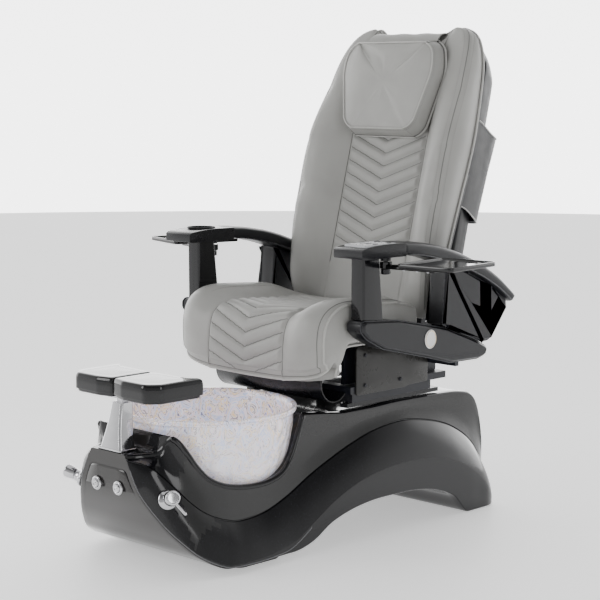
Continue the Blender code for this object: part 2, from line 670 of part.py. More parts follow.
def make_arm(name, side):
    body = f"arm_{name}"
    BODIES[body] = make_body(body, (side * ARM_X, ARM_HINGE_Y, ARM_HINGE_Z))
    inner_x, outer_x = 0.307, 0.356
    foot = [(-0.052, 0.6445), (0.028, 0.6385)]
    crown = [(-0.054, 0.8130), (0.010, 0.8130)]
    post = loft(
        [
            [(inner_x, *front), (outer_x, *front), (outer_x, *rear), (inner_x, *rear)]
            for front, rear in (foot, crown)
        ]
    )
    add(f"arm_post_{name}", mirrored(bevelled(post, 0.004, 2), side), "satin_black", body)

    head = [(-0.102, 0.8140), (-0.102, 0.8400), (-0.060, 0.8450), (0.074, 0.8490), (0.074, 0.8140)]
    head_solid = bevelled(prism(head, 0.291, 0.396), 0.005, 2)
    if name == "right":
        cup = rod((0.344, -0.010, 0.8210), (0.344, -0.010, 0.90), 0.0370, 28)
        head_solid = combined(head_solid, ("DIFFERENCE", cup))
    else:
        recess = block((0.302, -0.078, 0.8428), (0.386, 0.048, 0.90))
        head_solid = combined(head_solid, ("DIFFERENCE", recess))
    add(f"arm_head_{name}", mirrored(head_solid, side), "satin_black", body)

    upper = [
        (0.0745, 0.8500), (0.150, 0.8440), (0.259, 0.8240), (0.380, 0.7830), (0.487, 0.7290),
        (0.578, 0.6600),
    ]
    lower = [
        (0.560, 0.6420), (0.470, 0.7000), (0.365, 0.7480), (0.250, 0.7860), (0.150, 0.8080),
        (0.0745, 0.8160),
    ]
    pad = bevelled(prism(upper + lower, 0.296, 0.392), 0.010, 2)
    add(f"arm_pad_{name}", mirrored(pad, side), "black_leather", body)

    outline = [
        (0.282, 0.7740), (0.365, 0.7455), (0.470, 0.6975), (0.551, 0.6450), (0.462, 0.5420),
        (0.430, 0.5395), (0.282, 0.5955), (0.262, 0.6030),
    ]
    panel = mirrored(bevelled(prism(outline, 0.314, 0.380), 0.005, 1), side)
    add(f"arm_panel_{name}", panel, "black_leather", body)


def make_control_panel():
    outline = [(0.3025, -0.0775), (0.3855, -0.0775), (0.3855, 0.0475), (0.3025, 0.0475)]
    panel = bevelled(prism(rounded(outline, 0.006, 2), 0.8432, 0.8505, "Z"), 0.001, 1, 60)
    add("control_panel", panel, "keypad", "arm_left")


def make_cup_holder():
    cup = [
        (0.0320, 0.8232), (0.0366, 0.8232), (0.0366, 0.8510), (0.0415, 0.8510), (0.0415, 0.8525),
        (0.0330, 0.8525), (0.0320, 0.8500),
    ]
    ring = turned(cup, 28, closed=True, centre=(-ARM_X, -0.010, 0))
    add("cup_holder", ring, "dark_rubber", "arm_right")


def make_tray(name, side):
    body = f"tray_{name}"
    pivot = Vector((side * TRAY_PIVOT_X, TRAY_PIVOT_Y, 0))
    BODIES[body] = make_body(body, pivot)
    pin = [
        (0, 0.7640), (0.0120, 0.7640), (0.0140, 0.7660), (0.0140, 0.7780), (0.0060, 0.7790),
        (0.0060, 0.8010), (0.0150, 0.8010), (0.0150, 0.8136), (0, 0.8136),
    ]
    add(f"tray_pivot_{name}", turned(pin, 20, centre=pivot), "satin_black", f"arm_{name}")

    top = TRAY_TOP_Z
    x0, y0 = 0.092, -0.078
    x1, y1 = x0 + TRAY_WIDTH, y0 + TRAY_LENGTH
    plan = rounded([(x0, y0), (x1, y0), (x1, y1), (x0, y1)], 0.010, 2)
    plate = prism(plan, top - 0.0130, top, "Z")
    rim = 0.005
    well = block((x0 + rim, y0 + rim, top - 0.0040), (x1 - rim, y1 - rim, top + 0.02))
    bar = block((0.0, -0.016, top - 0.0250), (x0 + 0.080, 0.016, top - 0.0125))
    eye = rod((0, 0, top - 0.0250), (0, 0, top - 0.0060), 0.0180, 20)
    hole = rod((0, 0, top - 0.05), (0, 0, top + 0.02), 0.0064, 20)
    steps = (("DIFFERENCE", well), ("UNION", bar), ("UNION", eye), ("DIFFERENCE", hole))
    turn = Matrix.Translation(pivot) @ Matrix.Rotation(TRAY_TURN[name], 4, "Z")
    tray = moved(mirrored(combined(plate, *steps), side), turn)
    add(f"tray_{name}", tray, "satin_black", body)


# ---- back, in its own upright frame: origin on the recline axis ----------------------
BACK_PAD_SECTIONS = [
    # z along the back, half width, front y at the centre, front y at the bolster, rear y
    (0.075, 0.262, -0.104, -0.116, -0.062),
    (0.100, 0.274, -0.110, -0.138, -0.058),
    (0.200, 0.280, -0.111, -0.160, -0.054),
    (0.380, 0.286, -0.112, -0.172, -0.050),
    (0.580, 0.284, -0.113, -0.168, -0.046),
    (0.740, 0.268, -0.112, -0.146, -0.042),
    (0.840, 0.248, -0.106, -0.122, -0.040),
    (0.905, 0.222, -0.094, -0.098, -0.042),
    (0.928, 0.190, -0.078, -0.078, -0.052),
]


def make_back_pad():
    sections = []
    for z, half, centre, bolster, rear in BACK_PAD_SECTIONS:
        side = bolster + (rear - bolster) * 0.45
        right = [
            (0, centre), (half * 0.54, centre), (half * 0.70, centre + (bolster - centre) * 0.6),
            (half * 0.84, bolster), (half * 0.95, bolster + (side - bolster) * 0.45), (half, side),
            (half * 0.985, rear - (rear - side) * 0.2), (half * 0.93, rear), (half * 0.5, rear),
            (0, rear),
        ]
        left = [(-x, y) for x, y in reversed(right[1:-1])]
        sections.append([(x, y, z) for x, y in right + left])
    add("back_pad", loft(sections), "grey_leather", "back", placed=True, smooth=60)


def make_back_shell():
    """A tray-shaped rear cover, open towards the pad, with rounded top corners."""

    def plan(half, low, high, radius):
        return rounded([(-half, low), (half, low), (half, high), (-half, high)], radius, 4)

    outer = [
        (0.234, 0.105, 0.900, -0.0375), (0.236, 0.100, 0.892, -0.008), (0.230, 0.108, 0.862, 0.034),
        (0.212, 0.125, 0.812, 0.062),
    ]
    inner = [
        (0.206, 0.133, 0.804, 0.056), (0.224, 0.116, 0.854, 0.030), (0.230, 0.107, 0.886, -0.008),
        (0.228, 0.112, 0.894, -0.0375),
    ]
    sections = [[(x, y, z) for x, z in plan(h, lo, hi, 0.070)] for h, lo, hi, y in outer + inner]
    bm = bmesh.new()
    rows = [[bm.verts.new(p) for p in section] for section in sections]
    count = len(rows[0])
    for a, b in zip(rows, rows[1:]):
        if a is rows[len(outer) - 1]:
            continue
        for i in range(count):
            bm.faces.new((a[i], a[(i + 1) % count], b[(i + 1) % count], b[i]))
    bm.faces.new(rows[len(outer) - 1])
    bm.faces.new(rows[len(outer)])
    for i in range(count):
        j = (i + 1) % count
        bm.faces.new((rows[-1][i], rows[-1][j], rows[0][j], rows[0][i]))
    leg_slots = [
        ("DIFFERENCE", mirrored(block((0.158, -0.060, 0.080), (0.193, -0.011, 0.200)), side))
        for _, side in SIDES
    ]
    add("back_shell", combined(bm, *leg_slots), "satin_black", "back", placed=True)


def make_back_frame():
    outer = [(-0.188, -0.020), (-0.188, 0.820), (0.188, 0.820), (0.188, -0.020)]
    frame = prism(outer, -0.034, -0.016, "Y")
    window = block((-0.163, -0.05, 0.160), (0.163, 0.0, 0.795))
    foot_gap = block((-0.163, -0.05, -0.05), (0.163, 0.0, 0.122))
    tools = [("DIFFERENCE", window), ("DIFFERENCE", foot_gap)]
    for _, side in SIDES:
        eye = rounded([(-0.034, -0.022), (0.022, -0.022), (0.022, 0.060), (-0.034, 0.060)], 0.012, 3)
        tools.append(("UNION", mirrored(prism(eye, 0.170, 0.188), side)))
    tools.append(("DIFFERENCE", rod((-0.25, 0, 0), (0.25, 0, 0), 0.0124, 20)))
    add("back_frame", combined(frame, *tools), "painted_steel", "back", placed=True)


def make_pillow():
    sections = []
    rows = ((-0.1150, 0.86), (-0.1320, 0.98), (-0.1560, 1.0), (-0.1740, 0.95), (-0.1820, 0.84))
    corners = [
        (-0.122, 0.588), (0.122, 0.588), (0.166, 0.800), (0.140, 0.882), (-0.140, 0.882),
        (-0.166, 0.800),
    ]
    outline = rounded(corners, 0.045, 3)
    mid = 0.735
    for y, k in rows:
        sections.append([(x * k, y - GAP, mid + (z - mid) * k) for x, z in outline])
    add("pillow", loft(sections), "grey_leather", "back", placed=True, smooth=60)


def make_pillow_strap():
    """A flap from the pillow's top edge over the top of the back pad and down its rear."""
    half, thick = 0.120, 0.004
    outside = [
        (-0.126, 0.8870), (-0.122, 0.9060), (-0.104, 0.928), (-0.080, 0.940), (-0.052, 0.938),
        (-0.034, 0.922),
    ]
    inside = [(y + thick * 0.8, z - thick) for y, z in reversed(outside)]
    strap = loft([[(x, y, z) for y, z in outside + inside] for x in (-half, half)])
    add("pillow_strap", strap, "grey_leather", "back", placed=True)


def make_rear_pocket():
    """A gaping pouch: two side gussets and a leaning rear panel, open at the top and front."""

    def ring(half, front, rear, z):
        return [(-half, front, z), (half, front, z), (half, rear, z), (-half, rear, z)]

    outer = loft([ring(0.226, 0.0625, 0.0860, 0.395), ring(0.232, 0.0625, 0.1080, 0.640)])
    inner = loft([ring(0.222, 0.0560, 0.0815, 0.402), ring(0.2285, 0.0560, 0.1060, 0.660)])
    pouch = combined(outer, ("DIFFERENCE", inner))
    add("rear_pocket", pouch, "black_leather", "back", placed=True)


def make_massage_unit():
    start, roller_y = 0.300, -0.026
    track = block((-0.011, -0.0156, 0.145), (0.011, 0.0076, 0.805), 0.001, 1)
    add("massage_track", track, "bright_steel", "back", placed=True)
    local = Matrix.LocRotScale(BODIES["back"].location, BODIES["back"].rotation_euler, None)
    carriage_point = local @ Vector((0, 0, start))
    BODIES["massage_carriage"] = make_body("massage_carriage", carriage_point, -BACK_TILT)
    plate = block((-0.110, 0.008, -0.050), (0.110, 0.030, 0.050), 0.002, 1)
    tools = []
    for _, side in SIDES:
        arm = block((0.0500, -0.034, -0.012), (0.0600, 0.010, 0.012))
        tools.append(("UNION", mirrored(arm, side)))
        pin = rod((0.0590, roller_y, 0), (0.0950, roller_y, 0), 0.0060, 16)
        tools.append(("UNION", mirrored(pin, side)))
    carriage = combined(plate, *tools)
    add("massage_carriage", carriage, "painted_steel", "massage_carriage", placed=True)
    for name, side in SIDES:
        body = f"massage_roller_{name}"
        axis_point = local @ Vector((side * 0.080, roller_y, start))
        BODIES[body] = make_body(body, axis_point, -BACK_TILT)
        wheel = [
            (0.0064, -0.012), (0.0120, -0.014), (0.0140, -0.006), (0.0140, 0.006), (0.0120, 0.014),
            (0.0064, 0.012),
        ]
        roller = turned(wheel, 20, closed=True, axis=(1, 0, 0))
        add(body, roller, "dark_rubber", body, placed=True)


make_base_shell()
make_access_panel()
make_jet_controls()
make_toe_kick()
make_base_frame()
make_bowl()
make_drain()
make_valve()
make_hand_shower()
make_footrest()
make_rails()
make_carriage()
make_front_skirt()
make_side_covers()
make_seat_pan()
make_seat_cushion()
for side_name, side_sign in SIDES:
    make_arm_base(side_name, side_sign)
    make_arm(side_name, side_sign)
    make_tray(side_name, side_sign)
make_control_panel()
make_cup_holder()
make_back_pad()
make_back_shell()
make_back_frame()
make_pillow()
make_pillow_strap()
make_rear_pocket()
make_massage_unit()
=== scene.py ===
"""Looks of the pedicure spa chair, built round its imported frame."""
import math

import bmesh
import bpy
from mathutils import Matrix, Vector, noise
from mathutils.bvhtree import BVHTree


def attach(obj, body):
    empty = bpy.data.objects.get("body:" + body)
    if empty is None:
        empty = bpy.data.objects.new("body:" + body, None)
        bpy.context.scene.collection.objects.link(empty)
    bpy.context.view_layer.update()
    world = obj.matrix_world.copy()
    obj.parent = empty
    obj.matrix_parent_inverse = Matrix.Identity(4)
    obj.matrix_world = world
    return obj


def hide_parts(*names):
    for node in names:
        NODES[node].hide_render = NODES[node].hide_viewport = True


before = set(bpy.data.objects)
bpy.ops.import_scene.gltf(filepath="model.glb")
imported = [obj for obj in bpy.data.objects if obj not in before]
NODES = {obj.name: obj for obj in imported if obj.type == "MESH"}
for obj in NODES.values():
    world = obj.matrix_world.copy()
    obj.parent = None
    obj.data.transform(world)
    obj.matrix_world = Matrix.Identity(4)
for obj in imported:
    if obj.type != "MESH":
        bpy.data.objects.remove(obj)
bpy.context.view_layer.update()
SIDES = (("left", 1.0), ("right", -1.0))
BACK = Matrix.Translation((0, 0.400, 0.520)) @ Matrix.Rotation(-math.radians(14.5), 4, "X")


# ---- materials ----------------------------------------------------------------------
class Finish:
    """A Principled material with a few helpers that add procedural detail to it."""

    def __init__(self, name, colour, roughness, metallic=0.0, **constants):
        self.material = bpy.data.materials.new(name)
        self.material.use_nodes = True
        self.nodes = self.material.node_tree.nodes
        self.links = self.material.node_tree.links
        self.shader = self.nodes["Principled BSDF"]
        self.shader.inputs["Base Color"].default_value = (*colour, 1)
        self.shader.inputs["Roughness"].default_value = roughness
        self.shader.inputs["Metallic"].default_value = metallic
        for socket, value in constants.items():
            self.shader.inputs[socket.replace("_", " ")].default_value = value
        self.place = self.nodes.new("ShaderNodeTexCoord").outputs["Object"]
        self.normal = None

    def stretched(self, scale):
        node = self.nodes.new("ShaderNodeMapping")
        node.inputs["Scale"].default_value = scale
        self.links.new(self.place, node.inputs["Vector"])
        return node.outputs["Vector"]

    def noise(self, scale, detail=3.0, rough=0.55, vector=None, distortion=0.0):
        node = self.nodes.new("ShaderNodeTexNoise")
        node.inputs["Scale"].default_value = scale
        node.inputs["Detail"].default_value = detail
        node.inputs["Roughness"].default_value = rough
        node.inputs["Distortion"].default_value = distortion
        self.links.new(vector or self.place, node.inputs["Vector"])
        return node.outputs["Fac"]

    def cells(self, scale, feature="F1", output="Distance", vector=None, randomness=1.0):
        node = self.nodes.new("ShaderNodeTexVoronoi")
        node.feature = feature
        node.inputs["Scale"].default_value = scale
        node.inputs["Randomness"].default_value = randomness
        self.links.new(vector or self.place, node.inputs["Vector"])
        return node.outputs[output]

    def ramp(self, source, *stops):
        """Maps a 0 to 1 value through (position, colour or grey) stops."""
        node = self.nodes.new("ShaderNodeValToRGB")
        elements = node.color_ramp.elements
        while len(elements) > 1:
            elements.remove(elements[-1])
        for i, (position, value) in enumerate(stops):
            element = elements[0] if i == 0 else elements.new(position)
            element.position = position
            value = (value, value, value) if isinstance(value, float) else value
            element.color = (*value, 1)
        self.links.new(source, node.inputs["Fac"])
        return node.outputs["Color"]

    def mix(self, a, b, factor, kind="MIX"):
        node = self.nodes.new("ShaderNodeMix")
        node.data_type = "RGBA"
        node.blend_type = kind
        for value, socket in ((factor, 0), (a, 6), (b, 7)):
            if isinstance(value, (float, int)):
                node.inputs[socket].default_value = value
            elif isinstance(value, tuple):
                node.inputs[socket].default_value = (*value, 1)
            else:
                self.links.new(value, node.inputs[socket])
        return node.outputs[2]

    def bump(self, height, strength, distance):
        node = self.nodes.new("ShaderNodeBump")
        node.inputs["Strength"].default_value = strength
        node.inputs["Distance"].default_value = distance
        self.links.new(height, node.inputs["Height"])
        if self.normal:
            self.links.new(self.normal, node.inputs["Normal"])
        self.normal = node.outputs["Normal"]
        self.links.new(self.normal, self.shader.inputs["Normal"])

    def colour(self, source):
        self.links.new(source, self.shader.inputs["Base Color"])

    def roughness(self, source):
        self.links.new(source, self.shader.inputs["Roughness"])


def shade(colour, k):
    return tuple(min(1.0, c * k) for c in colour)


def leather(name, colour, rough=0.42, grain=1.0, spread=0.10):
    f = Finish(name, colour, rough, **{"Specular_IOR_Level": 0.40, "Coat_Weight": 0.05, "Coat_Roughness": 0.30})
    soft = f.noise(5.0, 4.0)
    tone = f.ramp(soft, (0.30, shade(colour, 1 - spread)), (0.70, shade(colour, 1 + spread)))
    pores = f.cells(780.0, "DISTANCE_TO_EDGE", "Distance")
    pit = f.ramp(pores, (0.0, 0.72), (0.10, 1.0))
    f.colour(f.mix(tone, pit, 0.35, "MULTIPLY"))
    f.roughness(f.ramp(f.noise(38.0, 5.0), (0.25, rough - 0.07), (0.75, rough + 0.09)))
    f.bump(f.noise(26.0, 4.0), 0.12 * grain, 0.0016)
    f.bump(pores, 0.30 * grain, 0.00035)
    return f.material


def gloss_black(name, colour=(0.0045, 0.0045, 0.0055), rough=0.09):
    f = Finish(name, colour, rough, **{"Specular_IOR_Level": 0.36, "Coat_Weight": 0.16, "Coat_Roughness": 0.03})
    flecks = f.cells(520.0, "F1", "Color")
    glint = f.ramp(flecks, (0.80, colour), (0.97, (0.030, 0.032, 0.044)))
    cloud = f.ramp(f.noise(2.4, 3.0), (0.3, shade(colour, 0.8)), (0.7, shade(colour, 1.35)))
    f.colour(f.mix(cloud, glint, 0.45))
    f.roughness(f.ramp(f.noise(9.0, 6.0), (0.3, rough - 0.03), (0.7, rough + 0.07)))
    f.bump(f.noise(42.0, 2.0), 0.03, 0.0012)
    return f.material


def satin(name, colour, rough=0.40, texture=0.20, scale=900.0, shine=0.38):
    f = Finish(name, colour, rough, **{"Specular_IOR_Level": shine})
    f.colour(f.ramp(f.noise(7.0, 4.0), (0.3, shade(colour, 0.82)), (0.7, shade(colour, 1.22))))
    f.roughness(f.ramp(f.noise(24.0, 6.0), (0.25, rough - 0.08), (0.75, rough + 0.10)))
    f.bump(f.cells(scale), texture, 0.00025)
    return f.material


def metal(name, colour, rough, brushed=0.0, scratch=0.05):
    f = Finish(name, colour, rough, 1.0)
    f.colour(f.ramp(f.noise(14.0, 5.0), (0.3, shade(colour, 0.90)), (0.7, shade(colour, 1.05))))
    streaks = f.noise(60.0, 6.0, vector=f.stretched((0.4, 0.4, 9.0) if brushed else (1, 1, 1)))
    f.roughness(f.ramp(streaks, (0.25, max(rough - 0.03, 0.02)), (0.8, rough + 0.08 + brushed)))
    f.bump(streaks, scratch, 0.0003)
    return f.material


def crystal(name, contrast, low, high):
    """Hammered iridescent resin: pale lilac, with strokes of colour that gather between two heights. The colour is also
    emitted faintly, a painted glow.
    """
    f = Finish(name, (0.95, 0.94, 0.99), 0.07, **{
        "Transmission_Weight": 0.10, "IOR": 1.46, "Coat_Weight": 0.8, "Coat_Roughness": 0.04,
        # Emission at 0.30 is a painted glow: the bowl shines a little by itself.
        "Thin_Film_Thickness": 430.0, "Thin_Film_IOR": 1.5, "Emission_Strength": 0.30,
    })
    strokes = f.noise(17.0, 2.5, distortion=3.2, vector=f.stretched((1.0, 1.0, 0.75)))
    film = f.ramp(
        strokes, (0.30, (0.16, 0.17, 0.34)), (0.345, (0.93, 0.92, 0.98)), (0.40, (0.55, 0.62, 0.92)), (0.44, (0.96, 0.95, 0.98)),
        (0.475, (0.94, 0.72, 0.80)), (0.50, (0.98, 0.96, 0.97)), (0.535, (0.24, 0.16, 0.20)), (0.555, (0.97, 0.95, 0.97)),
        (0.60, (0.93, 0.66, 0.34)), (0.635, (0.97, 0.93, 0.95)), (0.69, (0.62, 0.56, 0.86)), (0.74, (0.12, 0.10, 0.16)),
    )
    pale = f.ramp(f.noise(11.0, 3.0, distortion=1.6), (0.30, (0.80, 0.81, 0.98)), (0.50, (0.98, 0.97, 1.0)), (0.72, (1.0, 0.95, 0.93)))
    split = f.nodes.new("ShaderNodeSeparateXYZ")
    f.links.new(f.place, split.inputs[0])
    span = f.nodes.new("ShaderNodeMapRange")
    span.interpolation_type = "SMOOTHSTEP"
    span.inputs["From Min"].default_value, span.inputs["From Max"].default_value = low, high
    span.inputs["To Min"].default_value, span.inputs["To Max"].default_value = contrast * 0.55, contrast
    f.links.new(split.outputs["Z"], span.inputs["Value"])
    tint_and_glow = f.mix(pale, film, span.outputs["Result"])
    f.colour(tint_and_glow)
    # Painted glow: the same colour is emitted, so the bowl lights itself.
    f.links.new(tint_and_glow, f.shader.inputs["Emission Color"])
    ridges = f.cells(30.0, "SMOOTH_F1", "Distance", vector=f.stretched((1.0, 1.0, 0.6)))
    f.bump(ridges, 0.8, 0.010)
    f.bump(strokes, 0.7, 0.010)
    f.roughness(f.ramp(f.noise(30.0, 3.0), (0.3, 0.04), (0.8, 0.14)))
    return f.material


GREY = (0.352, 0.350, 0.334)
M = {
    "grey": leather("grey_leatherette", GREY),
    # Lit copy of the grey leatherette (x1.30) for piping and hems: painted highlight on the welts.
    "grey_welt": leather("grey_leatherette_welt_painted_highlight", shade(GREY, 1.30), 0.30, 0.5),
    # Shaded copy of the grey leatherette (x0.42) for thin lines in seam grooves: painted shade.
    "grey_dark": leather("grey_leatherette_painted_seam_shade", shade(GREY, 0.42), 0.60, 0.5),
    "stitch": leather("grey_thread", shade(GREY, 0.62), 0.7, 0.4),
    "black": leather("black_leatherette", (0.0065, 0.0068, 0.0088), 0.34, 0.8, 0.16),
    # Lighter copy of the black leatherette for the piping: painted highlight on the welts.
    "black_welt": leather("black_leatherette_welt_painted_highlight", (0.020, 0.021, 0.025), 0.26, 0.5),
    "black_stitch": leather("black_thread", (0.045, 0.047, 0.055), 0.6, 0.4),
    "pocket": leather("pocket_leatherette", (0.030, 0.030, 0.032), 0.40, 1.2, 0.22),
    "pocket_trim": satin("pocket_silver_trim", (0.42, 0.42, 0.41), 0.35),
    "gloss": gloss_black("black_gel_coat"),
    # Dark grey gel coat for the upright walls round the bowl and for the skirt rims: painted reflection and highlight
    # on the black gel coat; the higher roughness is the finish's own.
    "gloss_surround": gloss_black("bowl_surround_painted_reflection", (0.016, 0.016, 0.016), 0.16),
    # Lighter brown-grey gel coat for the front face: painted reflection of the bright studio on the black gel coat.
    "gloss_front": gloss_black("front_gel_coat_painted_reflection", (0.026, 0.0245, 0.0235), 0.12),
    # Light grey gel coat for thin lines on the band edge: a painted highlight.
    "gloss_edge": gloss_black("moulding_edge_painted_highlight", (0.10, 0.10, 0.105), 0.10),
    "gloss_pad": gloss_black("footrest_gel_coat", (0.004, 0.004, 0.0045), 0.06),
    "satin": satin("black_moulding", (0.0065, 0.0068, 0.0085), 0.24, 0.10),
    "shell": satin("rear_shell_moulding", (0.0075, 0.0078, 0.0090), 0.34, 0.12, 700.0, 0.16),
    "satin_grey": satin("dark_brown_grey_cover", (0.020, 0.0195, 0.018), 0.30, 0.15),
    "paint": satin("powder_coated_steel", (0.009, 0.010, 0.015), 0.36, 0.30, 500.0),
    "chrome": metal("polished_chrome", (0.56, 0.56, 0.575), 0.06),
    "steel": metal("ground_steel", (0.58, 0.58, 0.60), 0.26, 0.10, 0.12),
    "rubber": satin("matte_rubber", (0.014, 0.014, 0.015), 0.70, 0.35, 600.0),
    "crystal": crystal("hammered_crystal", 0.80, 0.26, 0.385),
    "crystal_inner": crystal("hammered_crystal_inside", 1.0, 0.20, 0.30),
    "badge": satin("white_enamel", (0.82, 0.82, 0.80), 0.16, 0.03),
    "badge_gold": metal("brass_ornament", (0.72, 0.50, 0.20), 0.22),
    "keypad": satin("silver_membrane", (0.62, 0.63, 0.65), 0.24, 0.35, 420.0),
    "key": satin("pale_keys", (0.80, 0.80, 0.80), 0.30, 0.08),
    "dark_key": satin("dark_keys", (0.06, 0.06, 0.07), 0.30, 0.08),
}


# ---- mesh helpers -------------------------------------------------------------------
def between(knots, t):
    """Smooth value at t through (t, value) knots, with no overshoot."""
    if t <= knots[0][0]:
        return knots[0][1]
    for i in range(len(knots) - 1):
        (t0, v0), (t1, v1) = knots[i], knots[i + 1]
        if t <= t1:
            slope = (v1 - v0) / (t1 - t0)
            before = (v0 - knots[i - 1][1]) / (t0 - knots[i - 1][0]) if i else slope
            last = i + 2 >= len(knots)
            after = slope if last else (knots[i + 2][1] - v1) / (knots[i + 2][0] - t1)
            m0 = (slope + before) / 2 if slope * before > 0 else 0.0
            m1 = (slope + after) / 2 if slope * after > 0 else 0.0
            limit = 3 * abs(slope)
            m0, m1 = max(-limit, min(limit, m0)), max(-limit, min(limit, m1))
            u, h = (t - t0) / (t1 - t0), t1 - t0
            return (v0 * (2 * u**3 - 3 * u**2 + 1) + h * m0 * (u**3 - 2 * u**2 + u)
                    + v1 * (3 * u**2 - 2 * u**3) + h * m1 * (u**3 - u**2))
    return knots[-1][1]


def smooth(a, b, t):
    t = max(0.0, min(1.0, (t - a) / (b - a)))
    return t * t * (3 - 2 * t)


def spline(points, count, closed=False):
    """Points spaced evenly by length along a smooth curve through the given ones."""
    pts = [Vector(p) for p in points]
    n = len(pts)
    fine = []
    for i in range(n if closed else n - 1):
        if closed:
            p = [pts[(i + k - 1) % n] for k in range(4)]
        else:
            p = [pts[max(i - 1, 0)], pts[i], pts[i + 1], pts[min(i + 2, n - 1)]]
        for k in range(12):
            t = k / 12
            fine.append(0.5 * (2 * p[1] + (p[2] - p[0]) * t + (2 * p[0] - 5 * p[1] + 4 * p[2] - p[3]) * t**2
                               + (3 * p[1] - p[0] - 3 * p[2] + p[3]) * t**3))
    fine.append(pts[0].copy() if closed else pts[-1].copy())
    lengths = [0.0]
    for a, b in zip(fine, fine[1:]):
        lengths.append(lengths[-1] + (b - a).length)
    result, j = [], 0
    steps = count if closed else count - 1
    for k in range(count):
        want = lengths[-1] * k / steps
        while j < len(fine) - 2 and lengths[j + 1] < want:
            j += 1
        span = lengths[j + 1] - lengths[j] or 1.0
        result.append(fine[j].lerp(fine[j + 1], (want - lengths[j]) / span))
    return result


def rounded(points, radius, steps=5):
    """The outline with each corner replaced by an arc. radius may be one per corner."""
    result, count = [], len(points)
    for i, corner in enumerate(points):
        r = radius[i] if isinstance(radius, (list, tuple)) else radius
        corner = Vector(corner)
        before, after = Vector(points[i - 1]) - corner, Vector(points[(i + 1) % count]) - corner
        half = before.angle(after) / 2
        reach = min(r / math.tan(half), before.length * 0.49, after.length * 0.49)
        start, end = corner + before.normalized() * reach, corner + after.normalized() * reach
        bisector = (before.normalized() + after.normalized()).normalized()
        centre = corner + bisector * (reach * math.tan(half) / math.sin(half))
        for k in range(steps + 1):
            spoke = (start - centre).lerp(end - centre, k / steps)
            result.append(tuple(centre + spoke.normalized() * reach * math.tan(half)))
    return result


def piece(name, verts, faces, finish, body, slot, replaces=(), angle=40, bevel=0.0, segments=3, subdivide=0):
    """One visible piece: mesh, material and body. The slot argument is not used."""
    mesh = bpy.data.meshes.new(name)
    mesh.from_pydata([tuple(v) for v in verts], [], faces)
    bm = bmesh.new()
    bm.from_mesh(mesh)
    bmesh.ops.recalc_face_normals(bm, faces=bm.faces)
    bm.to_mesh(mesh)
    bm.free()
    mesh.shade_smooth()
    obj = bpy.data.objects.new(name, mesh)
    bpy.context.scene.collection.objects.link(obj)
    mesh.materials.append(M[finish])
    if bevel:
        m = obj.modifiers.new("edges", "BEVEL")
        m.width, m.segments, m.limit_method, m.angle_limit = bevel, segments, "ANGLE", math.radians(32)
        m.harden_normals = False
        settle(obj)
    if subdivide:
        m = obj.modifiers.new("fine", "SUBSURF")
        m.levels = m.render_levels = subdivide
        settle(obj)
    if angle:
        obj.data.set_sharp_from_angle(angle=math.radians(angle))
    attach(obj, body)
    if replaces:
        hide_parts(*replaces)
    return obj


def settle(obj):
    """Applies the modifiers of an object to its mesh."""
    evaluated = obj.evaluated_get(bpy.context.evaluated_depsgraph_get())
    mesh = bpy.data.meshes.new_from_object(evaluated)
    obj.modifiers.clear()
    obj.data = mesh


def lofted(sections, ring=False, caps=True):
    """Vertices and faces through equal-length closed sections."""
    count = len(sections[0])
    verts = [v for s in sections for v in s]
    faces = []
    rows = len(sections)
    for r in range(rows if ring else rows - 1):
        a, b = r * count, ((r + 1) % rows) * count
        for i in range(count):
            j = (i + 1) % count
            faces.append((a + i, a + j, b + j, b + i))
    if caps and not ring:
        faces.append(tuple(reversed(range(count))))
        faces.append(tuple(range((rows - 1) * count, rows * count)))
    return verts, faces


def prism(outline, low, high, axis="X"):
    place = {"X": lambda a, b, t: (t, a, b), "Y": lambda a, b, t: (a, t, b), "Z": lambda a, b, t: (a, b, t)}[axis]
    return lofted([[place(a, b, t) for a, b in outline] for t in (low, high)])


def turned(profile, steps=64, closed=False, centre=(0, 0, 0), axis=(0, 0, 1)):
    turn = Vector((0, 0, 1)).rotation_difference(Vector(axis)).to_matrix()
    centre = Vector(centre)
    verts, faces, rings = [], [], []
    for r, z in profile:
        if r < 1e-6:
            rings.append([len(verts)])
            verts.append(centre + turn @ Vector((0, 0, z)))
            continue
        rings.append(list(range(len(verts), len(verts) + steps)))
        for k in range(steps):
            a = 2 * math.pi * k / steps
            verts.append(centre + turn @ Vector((r * math.cos(a), r * math.sin(a), z)))
    pairs = list(zip(rings, rings[1:])) + ([(rings[-1], rings[0])] if closed else [])
    for a, b in pairs:
        for i in range(steps):
            j = (i + 1) % steps
            if len(a) == 1:
                faces.append((a[0], b[j], b[i]))
            elif len(b) == 1:
                faces.append((a[i], a[j], b[0]))
            else:
                faces.append((a[i], a[j], b[j], b[i]))
    return verts, faces


def tube(path, radius, sides=10, closed=False, flat=1.0):
    """A round cord of cloth or metal along a path; its ends are domed."""
    path = [Vector(p) for p in path]
    n = len(path)
    tangents = []
    for i in range(n):
        a = path[(i - 1) % n] if closed else path[max(i - 1, 0)]
        b = path[(i + 1) % n] if closed else path[min(i + 1, n - 1)]
        tangents.append((b - a).normalized())
    normal = tangents[0].orthogonal().normalized()
    sections = []
    for i, p in enumerate(path):
        normal = (normal - tangents[i] * normal.dot(tangents[i])).normalized()
        side = tangents[i].cross(normal)
        r = radius
        if not closed and i in (0, n - 1):
            r = radius * 0.45
        sections.append([p + (normal * math.cos(a) + side * math.sin(a) * flat) * r
                         for a in (2 * math.pi * k / sides for k in range(sides))])
    return lofted(sections, ring=closed)


def merged(*parts):
    verts, faces = [], []
    for v, f in parts:
        base = len(verts)
        verts += list(v)
        faces += [tuple(i + base for i in face) for face in f]
    return verts, faces


def placed(part, matrix):
    verts, faces = part
    return [matrix @ Vector(v) for v in verts], faces


